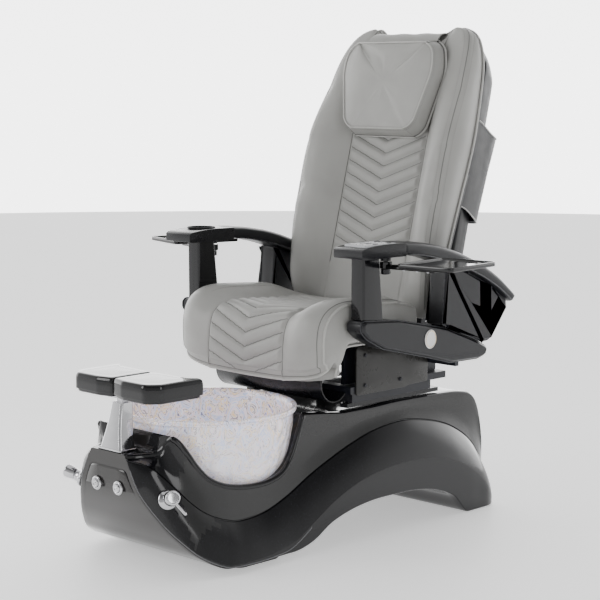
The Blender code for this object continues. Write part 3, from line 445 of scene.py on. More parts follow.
def flipped(part, side):
    verts, faces = part
    return [(v[0] * side, v[1], v[2]) for v in verts], faces


def surface_of(obj):
    return BVHTree.FromObject(obj, bpy.context.evaluated_depsgraph_get())


def laid(path, tree, lift=0.0):
    """The path moved to the nearest points of a surface, then out along its normal."""
    result = []
    for p in path:
        spot, normal, _, _ = tree.find_nearest(Vector(p))
        result.append(spot + normal * lift)
    return result


def stitches(path, radius=0.0007, length=0.0042, gap=0.0024):
    """A row of short thread stitches along a path, as one mesh."""
    path = [Vector(p) for p in path]
    total = sum((b - a).length for a, b in zip(path, path[1:]))
    count = max(2, int(total / (length + gap)))
    even = spline(path, count * 3)
    parts = []
    for k in range(count):
        a, b, c = even[3 * k], even[3 * k + 1], even[3 * k + 2]
        parts.append(tube([a, a.lerp(b, 0.5), b, b.lerp(c, 0.35)], radius, 5))
    return merged(*parts)


def puff(obj, held, pressure, cap, frames=14):
    """Swells a stitched cover with a cloth simulation. held gives each vertex a hold from 0 to 1."""
    group = obj.vertex_groups.new(name="held")
    for i, weight in enumerate(held):
        if weight > 0:
            group.add([i], weight, "REPLACE")
    before = [v.co.copy() for v in obj.data.vertices]
    m = obj.modifiers.new("cloth", "CLOTH")
    s = m.settings
    s.quality = 5
    s.mass = 0.25
    s.tension_stiffness = s.compression_stiffness = 25
    s.shear_stiffness = 10
    s.bending_stiffness = 4.0
    s.use_pressure = True
    s.uniform_pressure_force = pressure
    s.effector_weights.gravity = 0
    s.vertex_group_mass = "held"
    m.collision_settings.use_collision = False
    m.point_cache.frame_start, m.point_cache.frame_end = 1, frames
    for frame_number in range(1, frames + 1):
        bpy.context.scene.frame_set(frame_number)
    evaluated = obj.evaluated_get(bpy.context.evaluated_depsgraph_get())
    after = [v.co.copy() for v in evaluated.data.vertices]
    obj.modifiers.clear()
    obj.vertex_groups.clear()
    for v, a, b in zip(obj.data.vertices, before, after):
        shift = b - a
        if shift.length > cap:
            shift *= cap / shift.length
        v.co = a + shift
    bpy.context.scene.frame_set(1)


# ---- base ---------------------------------------------------------------------------
# Each row is a slanted slice: band edge (x, y, z), underside z, band crease (x, y, z), top rim (x, y, z).
STATIONS = [
    (0.081, -0.655, 0.304, 0.298, 0.080, -0.655, 0.308, 0.072, -0.655, 0.324),
    (0.118, -0.650, 0.232, 0.226, 0.132, -0.618, 0.290, 0.112, -0.584, 0.326),
    (0.167, -0.614, 0.152, 0.147, 0.172, -0.570, 0.235, 0.150, -0.562, 0.370),
    (0.207, -0.576, 0.098, 0.093, 0.194, -0.535, 0.193, 0.176, -0.535, 0.384),
    (0.241, -0.534, 0.056, 0.052, 0.210, -0.495, 0.160, 0.194, -0.500, 0.386),
    (0.266, -0.465, 0.024, 0.0205, 0.222, -0.440, 0.136, 0.209, -0.450, 0.386),
    (0.273, -0.400, 0.022, 0.0205, 0.226, -0.385, 0.127, 0.214, -0.390, 0.386),
    (0.274, -0.320, 0.024, 0.0205, 0.228, -0.300, 0.135, 0.216, -0.310, 0.386),
    (0.274, -0.240, 0.036, 0.0205, 0.229, -0.215, 0.165, 0.217, -0.240, 0.386),
    (0.274, -0.160, 0.082, 0.036, 0.229, -0.130, 0.207, 0.218, -0.160, 0.384),
    (0.274, -0.080, 0.129, 0.077, 0.229, -0.050, 0.240, 0.218, -0.070, 0.376),
    (0.274, 0.020, 0.168, 0.102, 0.229, 0.040, 0.272, 0.219, 0.030, 0.366),
    (0.274, 0.130, 0.188, 0.111, 0.229, 0.140, 0.298, 0.219, 0.135, 0.366),
    (0.274, 0.240, 0.194, 0.110, 0.229, 0.250, 0.308, 0.219, 0.245, 0.369),
    (0.274, 0.350, 0.186, 0.095, 0.229, 0.360, 0.294, 0.219, 0.355, 0.368),
    (0.274, 0.440, 0.164, 0.061, 0.229, 0.455, 0.268, 0.219, 0.450, 0.365),
    (0.274, 0.510, 0.132, 0.0, 0.229, 0.530, 0.230, 0.219, 0.530, 0.360),
    (0.273, 0.562, 0.100, 0.0, 0.229, 0.580, 0.190, 0.217, 0.585, 0.345),
    (0.272, 0.603, 0.064, 0.0, 0.227, 0.618, 0.140, 0.214, 0.620, 0.300),
    (0.264, 0.632, 0.034, 0.0, 0.224, 0.642, 0.088, 0.210, 0.645, 0.210),
    (0.250, 0.650, 0.018, 0.0, 0.216, 0.654, 0.045, 0.202, 0.655, 0.110),
]
NOTCH = [
    (-0.602, 0.400), (-0.578, 0.382), (-0.552, 0.362), (-0.530, 0.327), (-0.508, 0.290),
    (-0.478, 0.256), (-0.440, 0.235), (-0.390, 0.222), (-0.330, 0.216), (-0.270, 0.219),
    (-0.222, 0.236), (-0.188, 0.270), (-0.166, 0.312), (-0.150, 0.354), (-0.138, 0.392),
]
BOWL_Y, RIM_Z = -0.312, 0.405
BOWL_OUT = [(0.085, 0.163), (0.150, 0.180), (0.196, 0.214), (0.224, 0.265), (0.238, 0.320), (0.245, 0.386)]


def station_at(t):
    """The slice at a fractional station number, smooth along the base."""
    return [between([(i, s[k]) for i, s in enumerate(STATIONS)], t) for k in range(10)]


def base_slice(t):
    ex, ey, ez, low, cx, cy, cz, tx, ty, tz = station_at(t)
    tx = min(tx, cx - 0.006)
    half = [(tx * k, ty, tz) for k in (0.0, 0.25, 0.5, 0.75, 0.9)]
    half += [(tx - 0.010, ty, tz), (tx - 0.004, ty, tz - 0.0014), (tx - 0.0008, ty, tz - 0.0045), (tx, ty, tz - 0.010)]
    for k in (0.2, 0.4, 0.6, 0.8):
        bow = -0.006 * math.sin(math.pi * k)
        half.append((tx + (cx - 0.002 - tx) * k + bow, ty + (cy - ty) * k, (tz - 0.010) + (cz + 0.006 - tz + 0.010) * k))
    half += [(cx - 0.0018, cy, cz + 0.0052), (cx - 0.0050, cy, cz + 0.0030), (cx - 0.0050, cy, cz + 0.0012), (cx, cy, cz)]
    low = min(low, ez - 0.001)
    for k in (0.08, 0.2, 0.34, 0.5, 0.66, 0.82, 0.94):
        bow = 0.010 * math.sin(math.pi * k) * smooth(0.0, 0.06, cz - ez)
        half.append((cx + (ex - cx) * k + bow * 0.75, cy + (ey - cy) * k, cz + (ez - cz) * k + bow * 0.4))
    drop = ez - low
    round_off = min(0.004, drop * 0.45)
    half += [(ex, ey, ez), (ex, ey, ez - drop * 0.3), (ex, ey, low + round_off)]
    half += [(ex - round_off * 0.4, ey, low + round_off * 0.3), (ex - round_off, ey, low)]
    half += [(ex * k, ey, low) for k in (0.9, 0.75, 0.5, 0.25, 0.0)]
    other = [(-x, y, z) for x, y, z in reversed(half[1:-1])]
    return half + other


def boolean(obj, cutters):
    for part in cutters:
        mesh = bpy.data.meshes.new("cutter")
        mesh.from_pydata([tuple(v) for v in part[0]], [], part[1])
        bm = bmesh.new()
        bm.from_mesh(mesh)
        bmesh.ops.recalc_face_normals(bm, faces=bm.faces)
        bm.to_mesh(mesh)
        bm.free()
        tool = bpy.data.objects.new("cutter", mesh)
        bpy.context.scene.collection.objects.link(tool)
        m = obj.modifiers.new("cut", "BOOLEAN")
        m.operation, m.solver, m.object = "DIFFERENCE", "EXACT", tool
        settle(obj)
        bpy.data.objects.remove(tool, do_unlink=True)


def front_y(z):
    return between([(s[2], s[1]) for s in reversed(STATIONS[:6])], z)


def front_half(z):
    return between([(s[2], s[0]) for s in reversed(STATIONS[:6])], z)


def make_base():
    steps = 200
    rows = [base_slice((len(STATIONS) - 1) * k / steps) for k in range(steps + 1)]
    shell = piece("base_moulding", *lofted(rows), "gloss", "base", "gloss_black", replaces=("base_shell",))
    tree = surface_of(shell)
    notch_line = [(p.x, p.y) for p in spline([(y, z, 0) for y, z in NOTCH], 90)]
    notch = prism([(-0.640, 0.420)] + notch_line + [(-0.134, 0.430)], -0.4, 0.4)
    profile = [(0, 0.150), (0.085, 0.152)] + [(r + 0.004, z - 0.003) for r, z in BOWL_OUT[1:]] + [(0.252, 0.50), (0, 0.50)]
    boolean(shell, [notch, turned(profile, 160, centre=(0, BOWL_Y, 0))])
    shell.data.shade_smooth()
    shell.data.set_sharp_from_angle(angle=math.radians(28))
    shell.data.materials.append(M["gloss_front"])
    shell.data.materials.append(M["gloss_surround"])
    # Faces turned to the front take the lighter gel coat: painted reflection.
    for polygon in shell.data.polygons:
        spot = polygon.center
        if polygon.normal.y < -0.6 and abs(polygon.normal.x) < 0.5 and spot.z > 0.02 and abs(spot.x) < front_half(spot.z) - 0.004 and spot.y < -0.4:
            polygon.material_index = 1
        # Upright walls above the band take the grey gel coat: painted reflection.
        elif abs(polygon.normal.x) > 0.85 and abs(spot.x) < 0.2275 and spot.y > -0.56:
            polygon.material_index = 2
    # Thin tubes in a lighter gel coat along the band's front edge: a painted highlight line.
    edges = []
    for _, side in SIDES:
        points = [station_at(i / 12) for i in range(3, 9 * 12)]
        edges.append(tube([(side * (p[0] - 0.0006), p[1] + 0.0006, p[2]) for p in points], 0.0019, 10))
    piece("moulding_edge_painted_highlight_lines", *merged(*edges), "gloss_edge", "base", "gloss_black", angle=0)
    lips = []
    for _, side in SIDES:
        path = []
        for y, z in notch_line:
            hit = tree.ray_cast(Vector((side * 0.4, y, z - 0.003)), Vector((-side, 0, 0)))[0]
            if hit:
                path.append((hit.x - side * 0.0060, y, z - 0.0052))
        lips.append(tube(spline(path, 110), 0.0085, 16))
    piece("bowl_surround_lip", *merged(*lips), "gloss", "base", "gloss_black", angle=60)

    rows = []
    top, bottom, count, corner = 0.284, 0.130, 40, 0.012
    for k in range(count + 1):
        z = bottom + (top - bottom) * k / count
        edge = min(z - bottom, top - z)
        inset = corner - math.sqrt(max(0.0, corner**2 - max(0.0, corner - edge) ** 2)) if edge < corner else 0.0
        half = front_half(z) - 0.022 - inset
        y = front_y(z)
        ends = 0.0016 if k in (0, count) else 0.0
        front = [(half * u, y - 0.0016 + ends + (0.0008 if abs(u) == 1 else 0), z) for u in (-1, -0.985, -0.5, 0, 0.5, 0.985, 1)]
        back = [(half * u, y + 0.001, z) for u in (1, 0, -1)]
        rows.append(front + back)
    # The access panel takes the lighter gel coat too: painted reflection.
    piece("front_panel", *lofted(rows), "gloss_front", "base", "gloss_black", replaces=("access_panel",), angle=50)
    # A thin dark rubber-coloured tube round the access panel: painted shade in its gap.
    left = [(row[6][0] + 0.0008, row[6][1] - 0.0004, row[6][2]) for row in rows]
    right = [(row[0][0] - 0.0008, row[0][1] - 0.0004, row[0][2]) for row in rows]
    seam = tube(left + right[::-1], 0.0008, 6, closed=True)
    piece("front_panel_gap_shade", *seam, "rubber", "base", "gloss_black")
    plinth = [[(x, y, z) for x, y in rounded([(-w, -0.405), (w, -0.405), (w, -0.236), (-w, -0.236)], 0.03, 8)]
              for w, z in ((0.230, 0.0), (0.232, 0.002), (0.232, 0.0204))]
    piece("toe_plinth", *lofted(plinth), "rubber", "base", "satin_black", replaces=("toe_kick",), angle=40)
    make_jets()
    make_water_fittings()


def make_jets():
    face = front_y(0.232) - 0.0060
    for name, side in SIDES:
        centre = (side * 0.044, face, 0.232)
        ring = [(0.0116, -0.0046), (0.0140, -0.0046), (0.0142, 0.0012), (0.0184, 0.0012), (0.0187, 0.0022),
                (0.0180, 0.0036), (0.0165, 0.0050), (0.0145, 0.0056), (0.0126, 0.0050), (0.0116, 0.0040)]
        piece(f"jet_ring_{name}", *turned(ring, 72, True, centre, (0, -1, 0)), "chrome", "base", "chrome",
              replaces=(f"jet_bezel_{name}",), angle=35)
        cap = [(0, 0.0005), (0.0108, 0.0005), (0.0108, 0.0074), (0.0100, 0.0086), (0.0086, 0.0090), (0.0074, 0.0086),
               (0.0066, 0.0078), (0.0056, 0.0078), (0.0046, 0.0087), (0.0023, 0.0093), (0, 0.0094)]
        piece(f"jet_cap_{name}", *turned(cap, 72, False, centre, (0, -1, 0)), "chrome", f"jet_button_{name}", "chrome",
              replaces=(f"jet_button_{name}",), angle=35)


def make_water_fittings():
    seat, axis = Vector((0.176, -0.600, 0.214)), Vector((0.87, -0.35, 0.33)).normalized()
    dome = [(0, -0.004), (0.0262, -0.004), (0.0268, 0.000), (0.0262, 0.0030), (0.0240, 0.0052), (0.0200, 0.0078),
            (0.0160, 0.0105), (0.0130, 0.0120), (0, 0.0122)]
    piece("valve_escutcheon", *turned(dome, 96, False, seat, axis), "chrome", "base", "chrome",
          replaces=("valve_flange",), angle=50)
    stem = [(0, 0.0124), (0.0085, 0.0124), (0.0090, 0.0150), (0.0080, 0.0170), (0.0080, 0.0290), (0.0050, 0.0310), (0, 0.0310)]
    piece("valve_spindle", *turned(stem, 64, False, seat, axis), "steel", "valve_stem", "chrome", replaces=("valve_stem",))
    cap = [(0, 0.0330), (0.0110, 0.0330), (0.0110, 0.0200), (0.0180, 0.0200), (0.0196, 0.0214), (0.0200, 0.0235),
           (0.0200, 0.0425), (0.0192, 0.0448), (0.0174, 0.0460), (0.0154, 0.0458), (0.0146, 0.0450), (0.0138, 0.0458), (0, 0.0461)]
    hang = Vector((0.30, 0.60, -1))
    down = (hang - axis * hang.dot(axis)).normalized()
    across = seat + axis * 0.0320 + down * 0.013
    lever = tube(spline([across, across + down * 0.012, across + down * 0.044 + axis * 0.004], 16), 0.0042, 20)
    handle = merged(turned(cap, 96, False, seat, axis), lever)
    piece("valve_lever_cap", *handle, "chrome", "valve_handle", "chrome", replaces=("valve_handle",), angle=40)

    seat = Vector((-0.176, -0.600, 0.214))
    axis = Vector((-axis.x, axis.y, axis.z))
    holder = [(0.0114, -0.004), (0.0236, -0.004), (0.0240, 0.000), (0.0228, 0.0034), (0.0185, 0.0075), (0.0168, 0.0110),
              (0.0162, 0.0190), (0.0150, 0.0204), (0.0114, 0.0204)]
    piece("hand_shower_holder", *turned(holder, 96, True, seat, axis), "chrome", "base", "chrome",
          replaces=("spray_holder",), angle=40)
    head = [(0, 0), (0.0106, 0), (0.0108, 0.0210), (0.0140, 0.0226), (0.0158, 0.0260), (0.0172, 0.0330), (0.0184, 0.0440),
            (0.0186, 0.0500), (0.0180, 0.0530), (0.0166, 0.0542), (0.0150, 0.0536), (0, 0.0536)]
    piece("hand_shower_head", *turned(head, 96, False, seat, axis), "chrome", "hand_shower", "chrome",
          replaces=("hand_shower",), angle=40)


def make_bowl():
    outer = spline([(0.030, 0.158, 0)] + [(r, z, 0) for r, z in BOWL_OUT], 70)
    outer = [(p.x, p.y) for p in outer]
    z = RIM_Z
    rim = [(0.2470, z - 0.0175), (0.2500, z - 0.0170), (0.2528, z - 0.0150), (0.2535, z - 0.0125), (0.2520, z - 0.0100),
           (0.2512, z - 0.0090), (0.2530, z - 0.0075), (0.2550, z - 0.0050), (0.2545, z - 0.0020), (0.2520, z),
           (0.2480, z - 0.0004), (0.2440, z - 0.0016), (0.2410, z - 0.0040)]
    inner = [(r - 0.0058, h + 0.0042) for r, h in reversed(outer) if h < z - 0.024]
    inner[-1] = (0.030, 0.1642)
    profile = outer + rim + inner
    verts, faces = turned(profile, 240, True, (0, BOWL_Y, 0))
    hammered = []
    for v in verts:
        radius = math.hypot(v[0], v[1] - BOWL_Y)
        fade = smooth(0.060, 0.110, radius) * (1 - smooth(z - 0.030, z - 0.020, v[2]))
        if fade:
            turn = math.atan2(v[1] - BOWL_Y, v[0])
            spot = Vector((math.cos(turn) * 5.2, math.sin(turn) * 5.2, v[2] * 21.0))
            cell = noise.voronoi(spot * 1.35)[0][0]
            fine = noise.noise(spot * 3.1)
            push = (cell - 0.45) * 0.0042 + fine * 0.0010
            scale = 1 + fade * push / radius
            v = Vector((v[0] * scale, BOWL_Y + (v[1] - BOWL_Y) * scale, v[2]))
        hammered.append(v)
    bowl = piece("crystal_bowl", hammered, faces, "crystal", "base", "crystal_glass", replaces=("glass_bowl",), angle=60)
    bowl.data.materials.append(M["crystal_inner"])
    for polygon in bowl.data.polygons:
        if polygon.index // 240 >= len(outer) + 10:
            polygon.material_index = 1


def make_footrest():
    front, rear, outer_x, inner_x = -0.648, -0.490, 0.173, 0.0015
    top = 0.516
    for name, side in SIDES:
        outline = [(inner_x, front + 0.012), (0.050, front), (outer_x - 0.030, front), (outer_x, front + 0.035),
                   (outer_x + 0.002, rear + 0.035), (outer_x - 0.028, rear), (0.050, rear), (inner_x, rear - 0.006)]
        plan = rounded(outline, (0.010, 0.05, 0.030, 0.030, 0.030, 0.030, 0.05, 0.010), 7)
        mid = Vector(((outer_x + inner_x) / 2, (front + rear) / 2))
        levels = [(0.900, -0.0510), (0.925, -0.0508), (0.935, -0.0500), (0.938, -0.0440), (0.990, -0.0436), (0.998, -0.0425), (1.0, -0.0400),
                  (1.0, -0.0250), (0.998, -0.0140), (0.990, -0.0085), (0.975, -0.0045), (0.950, -0.0020), (0.915, -0.0008),
                  (0.80, 0.0), (0.55, 0.0), (0.25, 0.0)]
        sections = []
        for k, dz in levels:
            crown = -0.0016 * k * k
            sections.append([(mid.x + (x - mid.x) * k, mid.y + (y - mid.y) * k, top + dz + crown + 0.0016 * (k > 0.9)) for x, y in plan])
        part = flipped(lofted(sections), side)
        piece(f"footrest_plate_{name}", *part, "gloss_pad", "footrest", "gloss_black",
              replaces=(f"footrest_pad_{name}",), angle=50)

    def ring(y0, y1, half, z, r):
        return [(x, y, z) for x, y in rounded([(-half, y0), (half, y0), (half, y1), (-half, y1)], r, 6)]

    levels = [(0.3270, 0.043), (0.3300, 0.0425), (0.345, 0.0385), (0.375, 0.0310), (0.405, 0.0258), (0.4350, 0.0228),
              (0.4480, 0.0220)]
    outer = [ring(-0.648 + (z - 0.327) * 0.20, -0.594 + (z - 0.327) * 0.115, half, z, 0.008) for z, half in levels]
    inner = [ring(-0.6125, -0.5925, 0.0125, z, 0.002) for z in (0.4480, 0.3270)]
    piece("footrest_pillar_cover", *lofted(outer + inner, ring=True), "chrome", "base", "chrome",
          replaces=("footrest_shroud",), angle=35)
    collar = [ring(-0.6530, -0.5870, 0.0480, 0.3262, 0.009), ring(-0.6530, -0.5870, 0.0480, 0.3290, 0.009),
              ring(-0.6515, -0.5885, 0.0465, 0.3302, 0.009), ring(-0.6492, -0.5915, 0.0440, 0.3296, 0.009),
              ring(-0.6490, -0.5918, 0.0438, 0.3262, 0.009)]
    piece("footrest_collar", *lofted(collar, ring=True), "chrome", "base", "chrome", angle=35)


# ---- back cushion -------------------------------------------------------------------
# z runs up the back in its own leaning frame, y is negative towards the sitter.
BACK_HALF = [(0.060, 0.246), (0.075, 0.260), (0.10, 0.272), (0.20, 0.281), (0.38, 0.286), (0.58, 0.284), (0.74, 0.269),
             (0.84, 0.254), (0.885, 0.240), (0.912, 0.224), (0.930, 0.200), (0.938, 0.176)]
BACK_CREST = [(0.060, -0.110), (0.118, -0.146), (0.25, -0.173), (0.37, -0.183), (0.577, -0.178), (0.746, -0.142),
              (0.85, -0.118), (0.90, -0.100), (0.938, -0.078)]
BACK_WELT = [(0.060, -0.092), (0.28, -0.088), (0.40, -0.078), (0.56, -0.060), (0.68, -0.050), (0.83, -0.042), (0.938, -0.050)]
BACK_CENTRE = [(0.060, -0.104), (0.10, -0.110), (0.84, -0.110), (0.90, -0.098), (0.938, -0.076)]
PANEL_HALF = 0.150
RIB_PITCH, RIB_SLOPE, RIB_START = 0.0395, 0.385, 0.3043


def back_profile(z):
    """Half of the front of the back cushion at a height, from the centre out to the welt."""
    half, crest = between(BACK_HALF, z), between(BACK_CREST, z)
    welt, centre = between(BACK_WELT, z), between(BACK_CENTRE, z)
    panel = min(PANEL_HALF, half - 0.055)
    xc = half - 0.026
    points = [(panel * k / 14, centre) for k in range(14)]
    points += [(panel - 0.0035, centre), (panel, centre + 0.0035), (panel + 0.0035, centre - 0.001)]
    for k in range(1, 9):
        t = k / 8
        lift = math.sin(t * math.pi / 2) ** 1.3
        points.append((panel + 0.0035 + (xc - panel - 0.0035) * t, centre + (crest - centre) * lift))
    side = crest + min(0.026, (welt - crest) * 0.5)
    for k in range(1, 10):
        a = math.pi / 2 * k / 9
        points.append((xc + (half - xc) * math.sin(a), crest + (side - crest) * (1 - math.cos(a))))
    for k in range(1, 6):
        points.append((half + 0.003 * math.sin(math.pi * k / 5), side + (welt - side) * k / 5))
    return points


def make_back():
    zs = [0.060 + 0.003 * k for k in range(5)]
    zs += [0.078 + 0.0062 * k for k in range(134)]
    zs += [0.908 + 0.0030 * k for k in range(11)]
    rows = []
    for z in zs:
        front = back_profile(z)
        half, welt = front[-1]
        rear_y = min(welt + 0.012, -0.0415)
        rear = [(half - 0.006, (welt + rear_y) / 2), (half - 0.020, rear_y), (half * 0.6, rear_y), (half * 0.3, rear_y), (0, rear_y)]
        right = front + rear
        left = [(-x, y) for x, y in reversed(right[1:-1])]
        rows.append([(x, y, z) for x, y in right + left])
    count = len(rows[0])
    verts, faces = lofted(rows)
    back = piece("back_cushion", verts, faces, "grey", "back", "grey_leather", replaces=("back_pad",), angle=0)
    held = []
    n_front = len(back_profile(0.5))
    for r, row in enumerate(rows):
        ends = 1.0 if r < 3 or r > len(rows) - 4 else 0.0
        for i in range(count):
            k = i if i < n_front + 5 else count - i
            hold = 1.0 if k in (14, 15, 16) or k >= n_front - 2 else (0.35 if k < 14 else 0.0)
            held.append(max(hold, ends))
    puff(back, held, 3.0, 0.010, 10)
    m = back.modifiers.new("fine", "SUBSURF")
    m.levels = m.render_levels = 1
    settle(back)
    for v in back.data.vertices:
        x, y, z = v.co
        v.co.z -= 0.026 * (1 - smooth(0.118, 0.166, abs(x))) * smooth(0.85, 0.93, z)
        if abs(x) < PANEL_HALF + 0.004 and y < -0.07 and 0.10 < z < 0.93:
            fade = smooth(0.0, 0.010, PANEL_HALF - 0.002 - abs(x)) * smooth(0.225, 0.262, z) * (1 - smooth(0.90, 0.92, z))
            phase = (z - RIB_SLOPE * abs(x) - RIB_START) / RIB_PITCH
            f = phase - math.floor(phase)
            rib = max(0.0, 1 - abs(2 * f - 1) ** 2.6)
            lean = 0.65 + 0.35 * f
            v.co.y = y - (0.0100 * rib * lean - 0.0020) * fade
    back.data.transform(BACK)
    back.data.shade_smooth()
    tree = surface_of(back)

    def line(x_of, z_low, z_high, y_of, count):
        zs = [z_low + (z_high - z_low) * k / (count - 1) for k in range(count)]
        return [BACK @ Vector((x_of(z), y_of(z), z)) for z in zs]

    welt_path = [(between(BACK_HALF, z), between(BACK_WELT, z), z) for z in zs[2:]]
    top = zs[-1]
    across = [(between(BACK_HALF, top) * (1 - 2 * k / 24), between(BACK_WELT, top),
               top + 0.002 - 0.026 * (1 - smooth(0.118, 0.166, between(BACK_HALF, top) * abs(1 - 2 * k / 24)))) for k in range(1, 24)]
    loop = welt_path + across + [(-x, y, z) for x, y, z in reversed(welt_path)]
    loop = [BACK @ Vector((x * 1.004, y + 0.002, z)) for x, y, z in loop]
    # Piping in the lighter leatherette: painted highlight.
    piece("back_piping", *tube(spline(loop, 420), 0.0036, 10), "grey_welt", "back", "grey_leather", angle=0)
    # seams gathers thin tubes in the shaded leatherette: painted shade in the seam grooves.
    threads, seams = [], []
    for _, side in SIDES:
        def corner(z, inset, deep, side=side):
            return BACK @ Vector((side * (between(BACK_HALF, z) - inset), between(BACK_CREST, z) + deep, z))
        rows_z = [0.085 + (0.932 - 0.085) * k / 259 for k in range(260)]
        for inset, deep in ((0.0150, -0.001), (-0.0030, 0.0260)):
            threads.append(stitches(laid([corner(z, inset, deep) for z in rows_z], tree, 0.0002)))
        seams.append(tube(laid([corner(z, 0.0040, 0.0090) for z in rows_z], tree, -0.0002), 0.0012, 6))
        near_welt = [BACK @ Vector((side * (between(BACK_HALF, z) + 0.002), between(BACK_WELT, z) - 0.010, z)) for z in rows_z]
        threads.append(stitches(laid(near_welt, tree, 0.0002)))
        # Dark line in the groove beside the welt: painted shade.
        groove = [BACK @ Vector((side * (between(BACK_HALF, z) + 0.001), between(BACK_WELT, z) - 0.0045, z)) for z in rows_z]
        seams.append(tube(laid(groove, tree, -0.0001), 0.0011, 6))
        edge = [BACK @ Vector((side * PANEL_HALF, between(BACK_CENTRE, z), z)) for z in rows_z[34:]]
        seams.append(tube(laid(edge, tree, -0.0004), 0.0014, 6))
    # Dark tubes along the chevron seams: painted shade in their valleys.
    for k in range(-2, 16):
        apex = RIB_START + k * RIB_PITCH
        line = [(x, apex + RIB_SLOPE * abs(x)) for x in (-0.148 + 0.296 * j / 60 for j in range(61))]
        line = [BACK @ Vector((x, -0.112, z)) for x, z in line if 0.245 < z < 0.895]
        halves = [line] if len(line) == 61 else [line[:len(line) // 2], line[len(line) // 2:]]
        for part in halves:
            if len(part) > 4:
                seams.append(tube(laid(part, tree, 0.0001), 0.0010, 6))
    piece("back_seams_painted_shade", *merged(*seams), "grey_dark", "back", "grey_leather", angle=0)
    piece("back_stitching", *merged(*threads), "stitch", "back", "grey_leather", angle=0)


def slab(front, rear, depth_front, depth_rear, crown, steps, bulge):
    """Rings of a pillow: rear outline to front outline, then in towards the middle of the front."""
    rings = []
    n = len(front)
    centre = Vector((0, sum(p[1] for p in front) / n))
    for k in (0.15, 0.45, 0.75):
        rings.append([(p[0] * k, depth_rear + 0.004, centre.y + (p[1] - centre.y) * k) for p in rear])
    for s in range(steps + 1):
        t = s / steps
        swell = bulge * math.sin(math.pi * t)
        ring = []
        for a, b in zip(rear, front):
            p = Vector(a).lerp(Vector(b), t)
            out = (p - centre).normalized() * swell
            ring.append((p.x + out.x, depth_rear + (depth_front - depth_rear) * t, p.y + out.y))
        rings.append(ring)
    for k in (0.97, 0.93, 0.86, 0.77, 0.66, 0.54, 0.42, 0.30, 0.18, 0.07):
        lift = crown * (1 - k**2.4)
        rings.append([(p[0] * k, depth_front - lift, centre.y + (p[1] - centre.y) * k) for p in front])
    return rings


def make_pillow():
    def outline(corners, radii):
        return [tuple(p[:2]) for p in spline([(x, z, 0) for x, z in rounded(corners, radii, 6)], 120, closed=True)]

    front = outline([(-0.132, 0.604), (0.132, 0.604), (0.178, 0.790), (0.158, 0.866), (-0.158, 0.866), (-0.178, 0.790)],
                    [0.050, 0.050, 0.14, 0.050, 0.050, 0.14])
    rear = outline([(-0.146, 0.590), (0.146, 0.590), (0.190, 0.790), (0.166, 0.880), (-0.166, 0.880), (-0.190, 0.790)],
                   [0.052, 0.052, 0.14, 0.052, 0.052, 0.14])
    rings = slab(front, rear, -0.1700, -0.1240, 0.016, 7, 0.003)
    pillow = piece("head_pillow", *lofted(rings), "grey", "back", "grey_leather", replaces=("pillow",), angle=0)
    n = len(front)
    held = [1.0 if r < 4 or r == 10 else 0.0 for r in range(len(rings)) for _ in range(n)]
    puff(pillow, held, 3.2, 0.010, 12)
    m = pillow.modifiers.new("fine", "SUBSURF")
    m.levels = m.render_levels = 1
    settle(pillow)
    pillow.data.transform(BACK)
    pillow.data.shade_smooth()
    edge = [BACK @ Vector((x * 1.004, -0.1712, z)) for x, z in front]
    hem = [BACK @ Vector((x * 1.006, -0.1232, z)) for x, z in rear]
    welts = merged(tube(edge, 0.0024, 10, closed=True), tube(hem, 0.0036, 10, closed=True))
    # Piping in the lighter leatherette: painted highlight.
    piece("pillow_piping", *welts, "grey_welt", "back", "grey_leather", angle=0)
    # Thin dark tube at the pillow's rear seam: painted shade in the groove.
    seam = tube([BACK @ Vector((x * 1.008, -0.1295, z)) for x, z in rear], 0.0012, 6, closed=True)
    piece("pillow_seam_painted_shade", *seam, "grey_dark", "back", "grey_leather", angle=0)
    tree = surface_of(pillow)
    rows = []
    for k, depth in ((0.972, -0.176), (1.02, -0.163)):
        path = laid([BACK @ Vector((x * k, depth, 0.737 + (z - 0.737) * k)) for x, z in front + front[:1]], tree, 0.0002)
        rows.append(stitches(path, 0.0006))
    piece("pillow_stitching", *merged(*rows), "stitch", "back", "grey_leather", angle=0)

    outside = [(-0.128, 0.866), (-0.124, 0.884), (-0.112, 0.902), (-0.094, 0.912), (-0.070, 0.9155), (-0.050, 0.912), (-0.038, 0.900),
               (-0.034, 0.876), (-0.0335, 0.840)]
    path = [(p.x, p.y) for p in spline([(y, z, 0) for y, z in outside], 44)]
    rows = []
    for i, (y, z) in enumerate(path):
        before, after = Vector(path[max(i - 1, 0)]), Vector(path[min(i + 1, len(path) - 1)])
        run = (after - before).normalized()
        half = 0.139 - 0.010 * smooth(0, 20, i)
        upper = []
        for k in range(21):
            u = -1 + k / 10
            wave = 0.0014 * math.sin(u * 9 + i * 0.25) * math.sin(math.pi * i / len(path))
            upper.append((u * half, y - run.y * (0.002 + wave), z + run.x * (0.002 + wave)))
        lower = [(x, yy + run.y * 0.0036, zz - run.x * 0.0036) for x, yy, zz in reversed(upper)]
        rows.append(upper + lower)
    strap = piece("pillow_flap", *placed(lofted(rows), BACK), "grey", "back", "grey_leather",
                  replaces=("pillow_strap",), angle=50)


